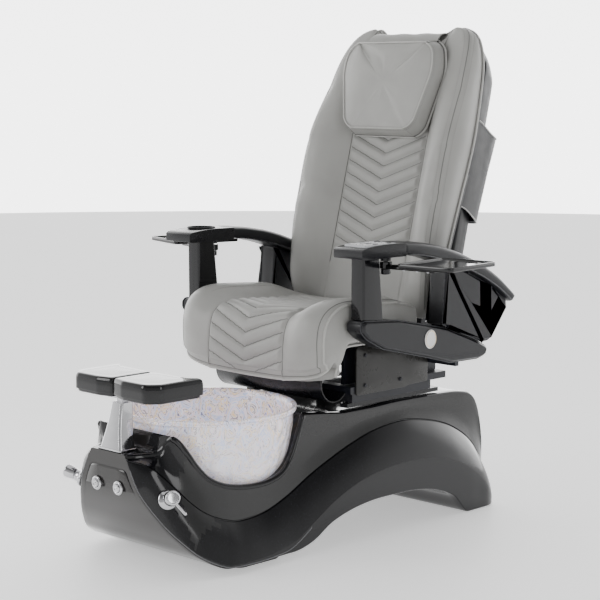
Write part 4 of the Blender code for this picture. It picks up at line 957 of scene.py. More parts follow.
def make_shell():
    levels = [  # half width, low z, high z, y, corner radius
        (0.08, 0.30, 0.62, 0.0620, 0.03), (0.17, 0.18, 0.76, 0.0620, 0.05), (0.212, 0.130, 0.815, 0.0610, 0.070),
        (0.228, 0.116, 0.842, 0.0540, 0.080), (0.238, 0.104, 0.868, 0.0400, 0.085), (0.244, 0.096, 0.888, 0.0200, 0.088),
        (0.250, 0.090, 0.900, 0.0000, 0.090), (0.256, 0.083, 0.908, -0.0200, 0.092), (0.258, 0.080, 0.912, -0.0340, 0.092),
        (0.254, 0.085, 0.909, -0.0390, 0.090),
    ]
    rows = []
    for half, low, high, y, r in levels:
        rows.append([(x, y, z) for x, z in rounded([(-half, low), (half, low), (half, high), (-half, high)], r, 12)])
    inside = [(0.150, 0.220, 0.740, 0.0570, 0.05), (0.206, 0.136, 0.806, 0.0560, 0.068), (0.224, 0.116, 0.846, 0.0400, 0.078),
              (0.238, 0.098, 0.890, 0.0000, 0.088), (0.252, 0.088, 0.910, -0.0340, 0.088), (0.252, 0.088, 0.910, -0.0390, 0.088)]
    inside = inside[::-1]
    for half, low, high, y, r in inside:
        rows.append([(x, y, z) for x, z in rounded([(-half, low), (half, low), (half, high), (-half, high)], r, 12)])
    piece("rear_shell", *placed(lofted(rows[::-1]), BACK), "shell", "back", "satin_black", replaces=("back_shell",), angle=50)
    fillers = []
    zs = [0.085 + 0.01 * k for k in range(60)]
    for _, side in SIDES:
        rows = []
        for z in zs:
            welt = between(BACK_WELT, z)
            half = between(BACK_HALF, z)
            rows.append([(side * (half - 0.006), welt + 0.004, z), (side * (half - 0.012), min(welt + 0.030, -0.022), z),
                         (side * 0.240, -0.020, z), (side * 0.236, -0.0385, z), (side * (half - 0.030), welt + 0.008, z)])
        fillers.append(lofted(rows))
    piece("rear_shell_wings", *placed(merged(*fillers), BACK), "shell", "back", "satin_black", angle=50)

    rows, trims = [], []
    for i in range(33):
        t = i / 32
        deep = 0.084 + 0.024 * t
        plan = [(0.262, -0.042), (0.260, -0.010), (0.252, 0.040), (0.244, deep * 0.80), (0.225, deep), (0.15, deep + 0.003), (0, deep + 0.004)]
        half = spline([(x, y, 0) for x, y in plan], 30)
        outer = []
        for p in half + [Vector((-p.x, p.y, 0)) for p in reversed(half[:-1])]:
            ripple = 0.0016 * math.sin(p.x * 46 + t * 4) * t
            z = 0.408 + 0.262 * t - 0.030 * smooth(-0.04, 0.10, p.y) - 0.006 * t * smooth(0.22, 0.0, abs(p.x))
            outer.append((p.x, p.y + (ripple if p.y > 0.06 else 0), z))
        inner = [(x * 0.985, y - 0.0036 * smooth(0.05, 0.09, y), z) for x, y, z in reversed(outer)]
        rows.append(outer + inner)
        if i == 32:
            trims.append(tube([BACK @ Vector(p) for p in outer], 0.0024, 8))
        if i == 0:
            trims.append(tube([BACK @ Vector((x, y, z - 0.001)) for x, y, z in outer], 0.0022, 8))
            floor = [p for p in outer if p[1] > 0.0625]
    pouch = piece("magazine_pocket", *placed(lofted(rows), BACK), "pocket", "back", "black_leather",
                  replaces=("rear_pocket",), angle=50)
    base_ring = floor + [(x, 0.0628, z) for x, y, z in reversed(floor)]
    bottom = lofted([base_ring, [(x, y, z + 0.003) for x, y, z in base_ring]])
    piece("magazine_pocket_floor", *placed(bottom, BACK), "pocket", "back", "black_leather", angle=50)
    piece("magazine_pocket_trim", *merged(*trims), "pocket_trim", "back", "black_leather", angle=0)


# ---- seat cushion -------------------------------------------------------------------
SEAT_TOP = [(0.262, 0.642), (0.200, 0.645), (0.120, 0.647), (0.040, 0.651), (-0.030, 0.655), (-0.080, 0.655),
            (-0.115, 0.648), (-0.138, 0.632), (-0.151, 0.606), (-0.1575, 0.570), (-0.1600, 0.530), (-0.1590, 0.495),
            (-0.1550, 0.474), (-0.1460, 0.461)]
SEAT_UNDER = [(0.262, 0.5668), (0.200, 0.5664), (0.120, 0.5664), (0.040, 0.5664), (-0.030, 0.5664), (-0.066, 0.5640),
              (-0.084, 0.5520), (-0.098, 0.5350), (-0.112, 0.5200), (-0.122, 0.5020), (-0.126, 0.4880), (-0.127, 0.4740),
              (-0.1275, 0.4680), (-0.128, 0.4620)]


def seat_edge_z(x):
    """Height of the front face's lower edge, a shallow smile with rounded corners."""
    return between([(0, 0.460), (0.12, 0.462), (0.190, 0.466), (0.235, 0.472), (0.260, 0.480), (0.276, 0.491),
                    (0.287, 0.508), (0.292, 0.530)], abs(x))


def seat_setback(x):
    """How far the front face falls back as its corners round off in plan."""
    return between([(0, 0.0), (0.190, 0.0), (0.225, 0.003), (0.256, 0.011), (0.276, 0.022), (0.287, 0.036), (0.293, 0.052)], abs(x))


def make_seat():
    count = 118
    top = [(p.x, p.y) for p in spline([(y, z, 0) for y, z in SEAT_TOP], count)]
    under = [(p.x, p.y) for p in spline([(y, z, 0) for y, z in SEAT_UNDER], count)]
    rows = []
    for i in range(count):
        (y, z), (uy, uz) = top[i], under[i]
        a, b = Vector(top[max(i - 1, 0)]), Vector(top[min(i + 1, count - 1)])
        run = (b - a).normalized()
        normal = Vector((run.y, -run.x))
        if normal.y < -0.1 or (abs(normal.y) < 0.1 and normal.x > 0):
            normal.negate()
        half = between([(-0.160, 0.291), (-0.08, 0.293), (0.04, 0.295), (0.14, 0.291), (0.262, 0.272)], y)
        rise = 0.040 * smooth(0.520, 0.650, z) * between([(-0.16, 0.45), (-0.10, 0.80), (0.0, 1.0), (0.15, 0.92), (0.262, 0.10)], y)
        rise += 0.006 * (1 - smooth(0.55, 0.64, z))
        edge_lift = rise * 0.22
        xs = [(PANEL_HALF * k / 14, 0.0) for k in range(14)]
        xs += [(PANEL_HALF - 0.0035, 0.0), (PANEL_HALF, -0.0035), (PANEL_HALF + 0.0035, 0.0005)]
        xc = PANEL_HALF + (half - PANEL_HALF) * 0.62
        for k in range(1, 9):
            t = k / 8
            xs.append((PANEL_HALF + 0.0035 + (xc - PANEL_HALF - 0.0035) * t, rise * math.sin(t * math.pi / 2) ** 1.4))
        for k in range(1, 10):
            a2 = math.pi / 2 * k / 9
            xs.append((xc + (half - xc) * math.sin(a2), edge_lift + (rise - edge_lift) * math.cos(a2) ** 0.9))
        right = []
        for x, lift in xs:
            right.append((x, y + normal.x * lift, z + normal.y * lift))
        ex, ey, ez = right[-1]
        for k in range(1, 7):
            t = k / 7
            right.append((ex + 0.004 * math.sin(math.pi * t), ey + (uy - ey) * t, ez + (uz - ez) * t))
        right += [(half - 0.004, uy, uz), (half * 0.75, uy, uz), (half * 0.5, uy, uz), (half * 0.25, uy, uz), (0, uy, uz)]
        left = [(-x, yy, zz) for x, yy, zz in reversed(right[1:-1])]
        row = []
        for x, yy, zz in right + left:
            if zz < 0.600 and yy < -0.02:
                low = 0.460 + (seat_edge_z(x) - 0.460) * (1 - smooth(-0.150, -0.115, yy))
                zz = low + (zz - 0.460) * (0.600 - low) / (0.600 - 0.460)
            row.append((x, yy + seat_setback(x) * (1 - smooth(-0.135, 0.0, yy)), zz))
        rows.append(row)
    verts, faces = lofted(rows)
    seat = piece("seat_cushion_cover", verts, faces, "grey", "seat", "grey_leather", replaces=("seat_cushion",), angle=0)
    width = len(rows[0])
    n_top = 14 + 3 + 8 + 9
    held = []
    for r in range(count):
        for i in range(width):
            k = i if i <= n_top + 10 else width - i
            hold = 1.0 if k in (14, 15, 16, n_top - 1) or k > n_top + 4 or r < 2 or r > count - 4 else 0.0
            if not hold and k < 14:
                hold = 0.3
            held.append(hold)
    puff(seat, held, 3.0, 0.008, 10)
    m = seat.modifiers.new("fine", "SUBSURF")
    m.levels = m.render_levels = 1
    settle(seat)
    lengths = [0.0]
    for a, b in zip(top, top[1:]):
        lengths.append(lengths[-1] + (Vector(b) - Vector(a)).length)
    flat = [Vector(p) for p in top]
    face_z = [l for l, p in zip(lengths, flat) if p.y < 0.5876][0]
    for v in seat.data.vertices:
        x, y, z = v.co
        if abs(x) > PANEL_HALF + 0.004:
            continue
        spot = Vector((y, z))
        near = min(range(count), key=lambda i: (flat[i] - spot).length_squared)
        if (flat[near] - spot).length > 0.02 and not z < 0.6:
            continue
        s = lengths[near]
        a, b = flat[max(near - 1, 0)], flat[min(near + 1, count - 1)]
        run = (b - a).normalized()
        s += (spot - flat[near]).dot(run)
        normal = Vector((run.y, -run.x))
        if normal.y < -0.1 or (abs(normal.y) < 0.1 and normal.x > 0):
            normal.negate()
        phase = (face_z - s - RIB_SLOPE * abs(x)) / 0.0410
        f = phase - math.floor(phase)
        rib = max(0.0, 1 - abs(2 * f - 1) ** 2.6)
        if v.normal.y * normal.x + v.normal.z * normal.y < 0.35:
            continue
        fade = smooth(0.0, 0.010, PANEL_HALF - 0.002 - abs(x)) * smooth(0.018, 0.040, lengths[-1] - s) * smooth(0.03, 0.07, s)
        push = (0.0078 * rib - 0.0016) * fade
        v.co.y += normal.x * push
        v.co.z += normal.y * push
    tree = surface_of(seat)
    last = count - 1
    crown = [Vector(row[n_top - 4]) for row in rows[3:]]
    front_low = [Vector(rows[last - 2][i]) for i in range(n_top - 4, -1, -1)]
    half_path = crown[:-3] + front_low
    loop = half_path + [Vector((-p.x, p.y, p.z)) for p in reversed(half_path[:-1])]
    path = laid(spline(loop, 460), tree, 0.0006)
    # Piping in the lighter leatherette: painted highlight.
    piece("seat_piping", *tube(path, 0.0034, 10), "grey_welt", "seat", "grey_leather", angle=0)
    # seams gathers thin tubes in the shaded leatherette: painted shade in the seam grooves.
    seams, threads, hems = [], [], []
    inner = [Vector(row[n_top - 6]) for row in rows[3:-4]] + [Vector(rows[last - 4][i]) for i in range(n_top - 6, -1, -1)]
    inner += [Vector((-p.x, p.y, p.z)) for p in reversed(inner[:-1])]
    seams.append(tube(laid(spline(inner, 400), tree, 0.0), 0.0011, 6))
    for _, side in SIDES:
        hem = [Vector((side * row[n_top + 6][0], row[n_top + 6][1], row[n_top + 6][2])) for row in rows[3:-3]]
        hems.append(tube(spline(hem, 200), 0.0036, 10))
        for offset in (10, 13):
            arc = [Vector((side * row[n_top - offset][0], row[n_top - offset][1], row[n_top - offset][2])) for row in rows[3:72]]
            threads.append(stitches(laid(arc, tree, 0.0003)))
        edge = [Vector((side * row[15][0], row[15][1], row[15][2])) for row in rows[3:-4]]
        seams.append(tube(laid(edge, tree, -0.0004), 0.0014, 6))
    # Dark tubes along the chevron seams: painted shade in their valleys.
    for k in range(-1, 9):
        line = []
        for j in range(61):
            x = -0.148 + 0.296 * j / 60
            s_want = face_z - RIB_SLOPE * abs(x) - k * 0.0410 + 0.0410 * 3
            near = min(range(count), key=lambda i: abs(lengths[i] - s_want))
            if 0.05 < s_want < lengths[-1] - 0.02:
                line.append(Vector((x, top[near][0], top[near][1])))
        for part in ([line] if len(line) == 61 else [line[:len(line) // 2], line[len(line) // 2:]]):
            if len(part) > 4:
                seams.append(tube(laid(spline(part, 50), tree, 0.0001), 0.0010, 6))
    # Hems in the lighter leatherette: painted highlight.
    piece("seat_hems", *merged(*hems), "grey_welt", "seat", "grey_leather", angle=0)
    piece("seat_seams_painted_shade", *merged(*seams), "grey_dark", "seat", "grey_leather", angle=0)
    piece("seat_stitching", *merged(*threads), "stitch", "seat", "grey_leather", angle=0)


# ---- arms ---------------------------------------------------------------------------
LOWER_PANEL = [
    (-0.070, 0.6440), (0.080, 0.6330), (0.282, 0.5920), (0.440, 0.5330), (0.470, 0.5180), (0.462, 0.4960),
    (0.430, 0.4880), (0.309, 0.4900), (0.200, 0.5180), (0.020, 0.5600), (-0.045, 0.5920), (-0.070, 0.6140),
]


def cushioned(outline, layers):
    """A slab across X whose outline is drawn in towards each face. layers holds (x, inset)."""
    points = [Vector(p) for p in outline]
    area = sum(a.x * b.y - b.x * a.y for a, b in zip(points, points[1:] + points[:1]))
    turn = 1 if area > 0 else -1
    rows = []
    for x, inset in layers:
        row = []
        for i, p in enumerate(points):
            run = ((p - points[i - 1]).normalized() + (points[(i + 1) % len(points)] - p).normalized()).normalized()
            spot = p + Vector((-run.y, run.x)) * (turn * inset)
            row.append((x, spot.x, spot.y))
        rows.append(row)
    return lofted(rows)


def evenly(points, count):
    """count points at equal steps along a closed outline of straight runs."""
    ring = [Vector(p) for p in points]
    ring.append(ring[0])
    lengths = [0.0]
    for a, b in zip(ring, ring[1:]):
        lengths.append(lengths[-1] + (b - a).length)
    out, k = [], 0
    for i in range(count):
        s = lengths[-1] * i / count
        while lengths[k + 1] < s:
            k += 1
        out.append(ring[k].lerp(ring[k + 1], (s - lengths[k]) / max(lengths[k + 1] - lengths[k], 1e-9)))
    return [tuple(p) for p in out]


def make_arm_base(name, side):
    radii = (0.018, 0.10, 0.10, 0.05, 0.012, 0.012, 0.03, 0.10, 0.10, 0.08, 0.05, 0.020)
    outline = evenly(rounded(LOWER_PANEL, radii, 8), 240)
    layers = [(0.3045, 0.0068), (0.3045, 0.0062), (0.3055, 0.0036), (0.3080, 0.0012), (0.3120, 0.0), (0.3560, 0.0), (0.3620, 0.0006),
              (0.3670, 0.0021), (0.3700, 0.0042), (0.3715, 0.0060), (0.3721, 0.0070), (0.3721, 0.0075)]
    slab_part = flipped(cushioned(outline, layers), side)
    pad = piece(f"arm_base_cover_{name}", *slab_part, "black", "seat", "black_leather",
                replaces=(f"arm_base_{name}",), angle=0)
    lower = [p for p in outline]
    welt = [(side * 0.3605, y, z) for y, z in lower]
    # Welt in the lighter black: painted highlight.
    piece(f"arm_base_welt_{name}", *tube(welt, 0.0024, 8, closed=True), "black_welt", "seat", "black_leather", angle=0)
    tree = surface_of(pad)
    rows = []
    for gap in (0.014, 0.019):
        path = [(side * 0.38, 0.206 + (y - 0.206) * (1 - gap * 3), 0.569 + (z - 0.569) * (1 - gap * 14)) for y, z in outline]
        path = [p for p in path if -0.04 < p[1] < 0.425 and p[2] < 0.565 - 0.10 * (p[1] - 0.206)]
        rows.append(stitches(laid(path, tree, 0.0003), 0.0006))
    piece(f"arm_base_stitching_{name}", *merged(*rows), "black_stitch", "seat", "black_leather", angle=0)
    centre = Vector((side * 0.3726, 0.206, 0.569))
    profile = [(0, 0.0), (0.0236, 0.0), (0.0240, 0.0010), (0.0232, 0.0022), (0.0216, 0.0029), (0.0200, 0.0027), (0.0120, 0.0030), (0, 0.0031)]
    verts, faces = turned(profile, 96, False, (0, 0, 0), (side, 0, 0))
    verts = [centre + Vector((v[0], v[1] * 1.0, v[2] * 1.12)) for v in verts]
    piece(f"arm_badge_{name}", verts, faces, "badge", "seat", "white_badge", replaces=(f"badge_{name}",), angle=50)
    ring = [centre + Vector((side * 0.0026, math.cos(a) * 0.0208, math.sin(a) * 0.0208 * 1.12))
            for a in (2 * math.pi * k / 96 for k in range(96))]
    piece(f"arm_badge_ring_{name}", *tube(ring, 0.0007, 8, closed=True), "badge_gold", "seat", "white_badge", angle=0)


def post_section(y0, y1, z):
    return [(x, y, z) for x, y in rounded([(0.307, y0), (0.356, y0), (0.356, y1), (0.307, y1)], 0.0065, 6)]


def make_arm(name, side):
    body = f"arm_{name}"
    rows = []
    for k in range(15):
        t = k / 14
        wide = 0.004 * (1 - t)
        rows.append(post_section(-0.052 - 0.002 * t - wide * 0.3, 0.028 - 0.018 * t, 0.6450 + (0.8134 - 0.6450) * t))
    rows[0] = [(x, y, 0.6449 - (y + 0.052) * 0.075) for x, y, z in rows[0]]
    rows[1] = [(x, y, z - (y + 0.052) * 0.06) for x, y, z in rows[1]]
    piece(f"arm_post_cover_{name}", *flipped(lofted(rows), side), "gloss", body, "satin_black",
          replaces=(f"arm_post_{name}",), angle=35)

    top = [(-0.1035, 0.8385), (-0.098, 0.8425), (-0.080, 0.8460), (-0.040, 0.8495), (0.010, 0.8510), (0.074, 0.8500)]
    top = [(p.x, p.y) for p in spline([(y, z, 0) for y, z in top], 26)]
    outline = top + [(0.074, 0.8142), (-0.090, 0.8142), (-0.1015, 0.8160), (-0.1035, 0.8200)]
    head = piece(f"arm_head_cover_{name}", *flipped(prism(outline, 0.291, 0.396), side), "satin", body, "satin_black",
                 replaces=(f"arm_head_{name}",), angle=40)
    if name == "right":
        boolean(head, [turned([(0, 0.8215), (0.0368, 0.8215), (0.0368, 0.90), (0, 0.90)], 96, centre=(-0.344, -0.010, 0))])
    else:
        plan = rounded([(0.302, -0.079), (0.386, -0.079), (0.386, 0.049), (0.302, 0.049)], 0.008, 8)
        boolean(head, [prism(plan, 0.8428, 0.90, "Z")])
    m = head.modifiers.new("edges", "BEVEL")
    m.width, m.segments, m.limit_method, m.angle_limit = 0.0045, 4, "ANGLE", math.radians(35)
    settle(head)
    head.data.shade_smooth()
    head.data.set_sharp_from_angle(angle=math.radians(40))

    upper = spline([(0, 0.0745, 0.8510), (0, 0.150, 0.8455), (0, 0.259, 0.8250), (0, 0.380, 0.7840), (0, 0.487, 0.7300), (0, 0.580, 0.6600)], 90)
    lower = spline([(0, 0.0745, 0.8150), (0, 0.150, 0.8070), (0, 0.250, 0.7850), (0, 0.365, 0.7470), (0, 0.470, 0.6990), (0, 0.561, 0.6400)], 90)
    rows, welts = [], [[], []]
    for i, (u, l) in enumerate(zip(upper, lower)):
        middle, half = (u + l) / 2, (u - l) / 2
        ends = [min(1.0, d / 0.020) for d in ((i + 0.6) * 0.0062, (89.6 - i) * 0.0062)]
        k = math.sqrt(max(0.0, 1 - (1 - ends[1]) ** 2)) * (0.90 + 0.10 * smooth(0, 1, ends[0] * 2.5))
        row = []
        for j in range(44):
            a = 2 * math.pi * j / 44
            c, s = math.cos(a), math.sin(a)
            x = 0.048 * math.copysign(abs(c) ** (2 / 4.6), c)
            h = math.copysign(abs(s) ** (2 / (4.6 if s < 0 else 3.4)), s)
            row.append(Vector((0.344, 0, 0)) + Vector((x * k, 0, 0)) + middle + half * (h * k))
        rows.append(row)
        if 1 < i < 87:
            for w, edge in enumerate((1, -1)):
                welts[w].append((side * (0.344 + edge * 0.0475 * k), *(middle - half * 0.78 * k)[1:]))
    pad = piece(f"arm_pad_cover_{name}", *flipped(lofted(rows), side), "black", body, "black_leather",
                replaces=(f"arm_pad_{name}",), angle=0)
    held = [0.0 if 0 < j < 22 else 1.0 for _ in rows for j in range(44)]
    puff(pad, held, 2.0, 0.003, 6)
    # Piping in the lighter black: painted highlight.
    piece(f"arm_pad_piping_{name}", *merged(*[tube(w, 0.0022, 8) for w in welts]), "black_welt", body, "black_leather", angle=0)

    outline = [(0.2700, 0.7800), (0.365, 0.7460), (0.470, 0.6980), (0.553, 0.6430), (0.466, 0.5400), (0.430, 0.5395),
               (0.282, 0.5955), (0.258, 0.6060)]
    outline = [(p.x, p.y) for p in spline([(y, z, 0) for y, z in rounded(outline, [0.010, 0.05, 0.05, 0.018, 0.022, 0.02, 0.03, 0.012], 5)], 180, closed=True)]
    layers = [(0.3142, 0.0068), (0.3142, 0.0062), (0.3152, 0.0034), (0.3180, 0.0012), (0.3215, 0.0), (0.3670, 0.0), (0.3720, 0.0008),
              (0.3760, 0.0026), (0.3786, 0.0046), (0.3797, 0.0062), (0.3801, 0.0070), (0.3801, 0.0075)]
    panel = piece(f"arm_rear_panel_{name}", *flipped(cushioned(outline, layers), side), "black", body, "black_leather",
                  replaces=(f"arm_panel_{name}",), angle=0)
    edge = [(side * 0.3725, y, z) for y, z in outline]
    # Piping in the lighter black: painted highlight.
    piece(f"arm_rear_panel_piping_{name}", *tube(edge, 0.0022, 8, closed=True), "black_welt", body, "black_leather", angle=0)


def make_keypad():
    plan = rounded([(0.3025, -0.0775), (0.3855, -0.0775), (0.3855, 0.0475), (0.3025, 0.0475)], 0.0075, 8)
    middle = Vector((0.344, -0.015))
    rows = []
    for k, z in ((1.0, 0.8434), (1.0, 0.8500), (0.985, 0.8512), (0.955, 0.8515), (0.93, 0.8508), (0.5, 0.8508), (0.05, 0.8508)):
        rows.append([(middle.x + (x - middle.x) * k, middle.y + (y - middle.y) * k, z) for x, y in plan])
    piece("control_panel_face", *lofted(rows), "keypad", "arm_left", "keypad", replaces=("control_panel",), angle=40)

    def key(x, y, half_x, half_y, top=0.8526):
        shape = rounded([(x - half_x, y - half_y), (x + half_x, y - half_y), (x + half_x, y + half_y), (x - half_x, y + half_y)],
                        min(half_x, half_y) * 0.7, 5)
        steps = ((1.0, 0.8506), (1.0, top - 0.0005), (0.90, top), (0.4, top + 0.0001))
        return lofted([[(x + (px - x) * k, y + (py - y) * k, z) for px, py in shape] for k, z in steps])

    pale = [key(0.344 + dx, y, 0.0068, 0.0052) for y in (-0.058, -0.042, 0.000, 0.016) for dx in (-0.024, 0.0, 0.024)]
    dark = [key(0.344, -0.021, 0.0300, 0.0080, 0.8514)] + [key(0.344 + dx, 0.034, 0.0090, 0.0050) for dx in (-0.020, 0.020)]
    piece("control_keys_pale", *merged(*pale), "key", "arm_left", "keypad", angle=40)
    piece("control_keys_dark", *merged(*dark), "dark_key", "arm_left", "keypad", angle=40)


def make_cup_holder():
    cup = [(0.0312, 0.8232), (0.0364, 0.8232), (0.0364, 0.8506), (0.0408, 0.8512), (0.0422, 0.8520), (0.0424, 0.8530),
           (0.0412, 0.8542), (0.0380, 0.8544), (0.0345, 0.8538), (0.0326, 0.8522), (0.0318, 0.8490)]
    piece("cup_holder_liner", *turned(cup, 120, True, (-0.344, -0.010, 0)), "rubber", "arm_right", "dark_rubber",
          replaces=("cup_holder",), angle=50)


def make_tray(name, side):
    turn = math.radians(6.0 if name == "left" else -15.0)
    place = Matrix.Translation((side * 0.350, 0.040, 0)) @ Matrix.Rotation(turn, 4, "Z")
    top = 0.805
    x0, y0, x1, y1 = 0.092, -0.078, 0.268, 0.142
    cx, cy = (x0 + x1) / 2, (y0 + y1) / 2

    def ring(inset, z, radius):
        return [(x, y, z) for x, y in rounded([(x0 + inset, y0 + inset), (x1 - inset, y0 + inset), (x1 - inset, y1 - inset), (x0 + inset, y1 - inset)], radius, 8)]

    levels = [(0.060, top - 0.0130, 0.006), (0.004, top - 0.0130, 0.010), (0.0012, top - 0.0122, 0.011), (0.0, top - 0.0105, 0.012),
              (0.0, top - 0.0016, 0.012), (0.0007, top - 0.0004, 0.012), (0.0020, top, 0.011), (0.0038, top, 0.010),
              (0.0050, top - 0.0006, 0.009), (0.0064, top - 0.0030, 0.008), (0.0085, top - 0.0042, 0.007), (0.012, top - 0.0046, 0.006),
              (0.060, top - 0.0046, 0.004), (0.086, top - 0.0046, 0.0005)]
    plate = lofted([ring(*level) for level in levels])
    bar = lofted([[(x, y, z) for y, z in rounded([(-0.016, top - 0.0250), (0.016, top - 0.0250), (0.014, top - 0.0132), (-0.014, top - 0.0132)], 0.003, 3)]
                  for x in (0.012, 0.060, 0.150, 0.172)])
    eye = turned([(0.0064, top - 0.0250), (0.0168, top - 0.0250), (0.0180, top - 0.0238), (0.0180, top - 0.0072), (0.0168, top - 0.0060),
                  (0.0064, top - 0.0060)], 64, True)
    clip = lofted([[(x, y, z) for x, y in rounded([(0.158, -0.024), (0.186, -0.024), (0.186, 0.024), (0.158, 0.024)], 0.004, 4)]
                   for z in (top - 0.0205, top - 0.0132)])
    part = placed(flipped(merged(plate, bar, eye, clip), side), place)
    piece(f"tray_plate_{name}", *part, "gloss_pad", f"tray_{name}", "satin_black", replaces=(f"tray_{name}",), angle=40)
    screws = [turned([(0, top - 0.0282), (0.0034, top - 0.0282), (0.0040, top - 0.0272), (0.0040, top - 0.0240), (0, top - 0.0240)], 32, centre=(x, 0, 0))
              for x in (0.060, 0.104, 0.140)]
    piece(f"tray_screws_{name}", *placed(flipped(merged(*screws), side), place), "steel", f"tray_{name}", "satin_black", angle=35)


# ---- carriage and skirt -------------------------------------------------------------
def make_mechanism():
    rows = []
    for x in (-0.2140, -0.2128, -0.10, 0.0, 0.10, 0.2128, 0.2140):
        inset = 0.0006 if abs(x) > 0.2130 else 0.0
        ring = []
        for k in range(49):
            a = math.radians(76 + 246 * k / 48)
            ring.append((x, -0.016 + math.cos(a) * (0.0555 - inset), 0.452 + math.sin(a) * (0.0555 - inset)))
        for k in range(48, -1, -1):
            a = math.radians(76 + 246 * k / 48)
            ring.append((x, -0.016 + math.cos(a) * (0.0520 + inset), 0.452 + math.sin(a) * (0.0520 + inset)))
        rows.append(ring)
    piece("front_skirt_cover", *lofted(rows), "satin", "seat", "satin_black", replaces=("front_skirt",), angle=45)
    rims = []
    for _, side in SIDES:
        arc = [(side * 0.2142, -0.016 + math.cos(a) * 0.0540, 0.452 + math.sin(a) * 0.0540)
               for a in (math.radians(76 + 246 * k / 60) for k in range(61))]
        rims.append(tube(arc, 0.0017, 10))
    # Rims in the lighter grey gel coat: a painted highlight on the skirt edge.
    piece("front_skirt_rims", *merged(*rims), "gloss_surround", "seat", "satin_black", angle=0)
    for name, side in SIDES:
        outline = [(0.046, 0.4100), (0.250, 0.4100), (0.266, 0.4140), (0.352, 0.4160), (0.352, 0.5480), (0.046, 0.5480)]
        outline = rounded(outline, [0.006, 0.02, 0.02, 0.006, 0.010, 0.010], 5)
        middle = (0.195, 0.478)
        rows = [[(x, middle[0] + (y - middle[0]) * k, middle[1] + (z - middle[1]) * k) for y, z in outline]
                for x, k in ((0.2350, 1.0), (0.2390, 1.0), (0.2398, 0.995), (0.2402, 0.985), (0.2402, 0.5), (0.2402, 0.05))]
        piece(f"carriage_cover_{name}", *flipped(lofted(rows), side), "satin_grey", "seat", "satin_black",
              replaces=(f"side_cover_{name}",), angle=35)
    bolts = []
    hexes = [(0.2404, 0.080, 0.436), (0.2404, 0.230, 0.436), (0.2404, 0.080, 0.522), (0.2404, 0.300, 0.522)]
    for _, side in SIDES:
        for x, y, z in hexes:
            bolts.append(turned([(0, 0), (0.0068, 0), (0.0068, 0.0008), (0.0056, 0.0014), (0.0056, 0.0040), (0.0046, 0.0050), (0, 0.0050)],
                                6, centre=(side * x, y, z), axis=(side, 0, 0)))
    piece("carriage_bolts", *merged(*bolts), "paint", "seat", "painted_steel", angle=30)
    ribs = []
    for x in (-0.150, -0.075, 0.0, 0.075, 0.150):
        shape = [(-0.052, 0.5480), (-0.052, 0.5180), (-0.020, 0.4600), (0.020, 0.4450), (0.026, 0.5480)]
        ribs.append(prism(shape, x - 0.0015, x + 0.0015))
    for _, side in SIDES:
        ribs.append(turned([(0, 0), (0.0100, 0), (0.0100, 0.020), (0.0060, 0.022), (0.0060, 0.034), (0, 0.034)], 40,
                           centre=(side * 0.160, -0.018, 0.466), axis=(side, 0, 0)))
    piece("skirt_brackets", *merged(*ribs), "paint", "seat", "satin_black", bevel=0.0006, segments=2, angle=35)


# ---- frame nodes that stay visible --------------------------------------------------
def dress_frame():
    finishes = {
        "base_frame": "paint", "drain_flange": "chrome", "drain_stopper": "chrome",
        "footrest_column": "steel", "slide_rail_left": "satin", "slide_rail_right": "satin", "slide_motor": "paint",
        "carriage_frame": "paint", "recline_shaft": "steel", "arm_crossbar": "paint", "seat_pan": "paint",
        "recline_actuator": "satin", "back_frame": "paint", "massage_track": "steel", "massage_carriage": "paint",
        "massage_roller_left": "rubber", "massage_roller_right": "rubber", "tray_pivot_left": "satin", "tray_pivot_right": "satin",
    }
    for name, finish in finishes.items():
        node = NODES[name]
        node.data.materials.clear()
        node.data.materials.append(M[finish])


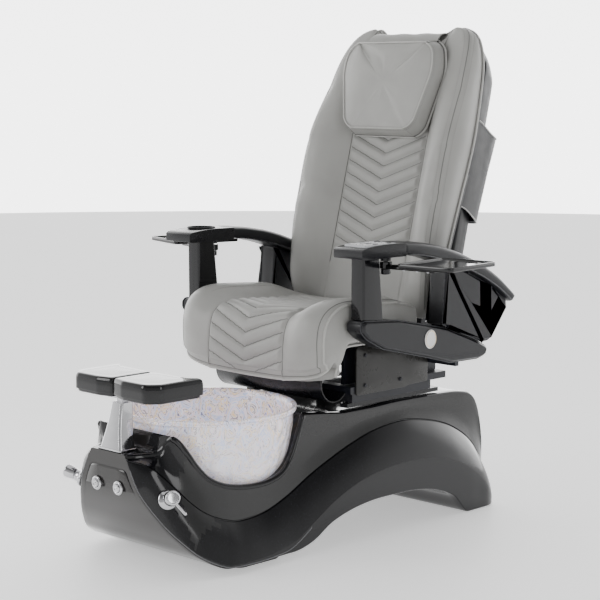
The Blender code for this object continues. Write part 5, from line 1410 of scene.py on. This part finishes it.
# ---- room, light and camera ---------------------------------------------------------
def make_room():
    floor = bpy.data.meshes.new("floor")
    disc = [(12 * math.cos(a), 12 * math.sin(a), -0.0006) for a in (2 * math.pi * k / 96 for k in range(96))]
    floor.from_pydata(disc, [], [tuple(range(96))])
    ground = bpy.data.objects.new("floor", floor)
    bpy.context.scene.collection.objects.link(ground)
    f = Finish("pale_floor", (0.93, 0.93, 0.93), 0.55, **{"Emission_Color": (1, 1, 1, 1), "Emission_Strength": 0.55})
    f.colour(f.ramp(f.noise(1.4, 3.0), (0.3, (0.92, 0.92, 0.92)), (0.7, (0.94, 0.94, 0.94))))
    floor.materials.append(f.material)
    world = bpy.data.worlds.new("studio")
    bpy.context.scene.world = world
    world.use_nodes = True
    tree = world.node_tree
    direction = tree.nodes.new("ShaderNodeTexCoord").outputs["Generated"]

    def along(axis, *stops):
        dot = tree.nodes.new("ShaderNodeVectorMath")
        dot.operation = "DOT_PRODUCT"
        dot.inputs[1].default_value = axis
        tree.links.new(direction, dot.inputs[0])
        span = tree.nodes.new("ShaderNodeMapRange")
        span.inputs["From Min"].default_value = -1.0
        tree.links.new(dot.outputs["Value"], span.inputs["Value"])
        node = tree.nodes.new("ShaderNodeValToRGB")
        node.color_ramp.elements.remove(node.color_ramp.elements[1])
        for i, (position, value) in enumerate(stops):
            element = node.color_ramp.elements[0] if i == 0 else node.color_ramp.elements.new(position)
            element.position, element.color = position, (value, value, value, 1)
        tree.links.new(span.outputs["Result"], node.inputs["Fac"])
        return node.outputs["Color"]

    backdrop = along((-0.70, 0.71, 0.0), (0.20, 0.28), (0.45, 0.34), (0.62, 0.70), (0.76, 1.9))
    height = along((0.0, 0.0, 1.0), (0.50, 1.0), (0.62, 0.85), (0.85, 0.30))
    both = tree.nodes.new("ShaderNodeMix")
    both.data_type, both.blend_type = "RGBA", "MULTIPLY"
    both.inputs[0].default_value = 1.0
    tree.links.new(backdrop, both.inputs[6])
    tree.links.new(height, both.inputs[7])
    tree.links.new(both.outputs[2], tree.nodes["Background"].inputs["Color"])
    tree.nodes["Background"].inputs["Strength"].default_value = 2.6

    def panel(name, spot, aim, size, power):
        light = bpy.data.lights.new(name, "AREA")
        light.shape, light.size, light.size_y, light.energy = "RECTANGLE", size[0], size[1], power
        lamp = bpy.data.objects.new(name, light)
        bpy.context.scene.collection.objects.link(lamp)
        lamp.location = spot
        lamp.rotation_euler = (Vector(aim) - Vector(spot)).to_track_quat("-Z", "Y").to_euler()

    panel("overhead", (0.4, -0.6, 3.6), (0, 0, 0.6), (2.6, 2.6), 16)
    panel("front_left", (-1.6, -3.4, 1.9), (0, 0, 0.7), (1.2, 2.0), 44)
    panel("side", (3.6, -1.2, 1.8), (0, 0.1, 0.7), (0.9, 1.9), 20)


def make_camera():
    data = bpy.data.cameras.new("studio_camera")
    camera = bpy.data.objects.new("studio_camera", data)
    bpy.context.scene.collection.objects.link(camera)
    right, up, forward = Vector((0.7118, 0.7023, 0.0018)), Vector((-0.0916, 0.0903, 0.9917)), Vector((-0.6963, 0.7061, -0.1286))
    turn = Matrix((right, up, -forward)).transposed()
    camera.matrix_world = Matrix.Translation((3.4833, -3.4608, 1.2965)) @ turn.to_4x4()
    data.sensor_width, data.lens = 36, 103.64
    data.shift_x, data.shift_y = -0.00367, 0.0025
    bpy.context.scene.camera = camera


make_base()
make_bowl()
make_footrest()
make_back()
make_pillow()
make_shell()
make_seat()
for side_name, side_sign in SIDES:
    make_arm_base(side_name, side_sign)
    make_arm(side_name, side_sign)
    make_tray(side_name, side_sign)
make_keypad()
make_cup_holder()
make_mechanism()
dress_frame()
make_room()
make_camera()
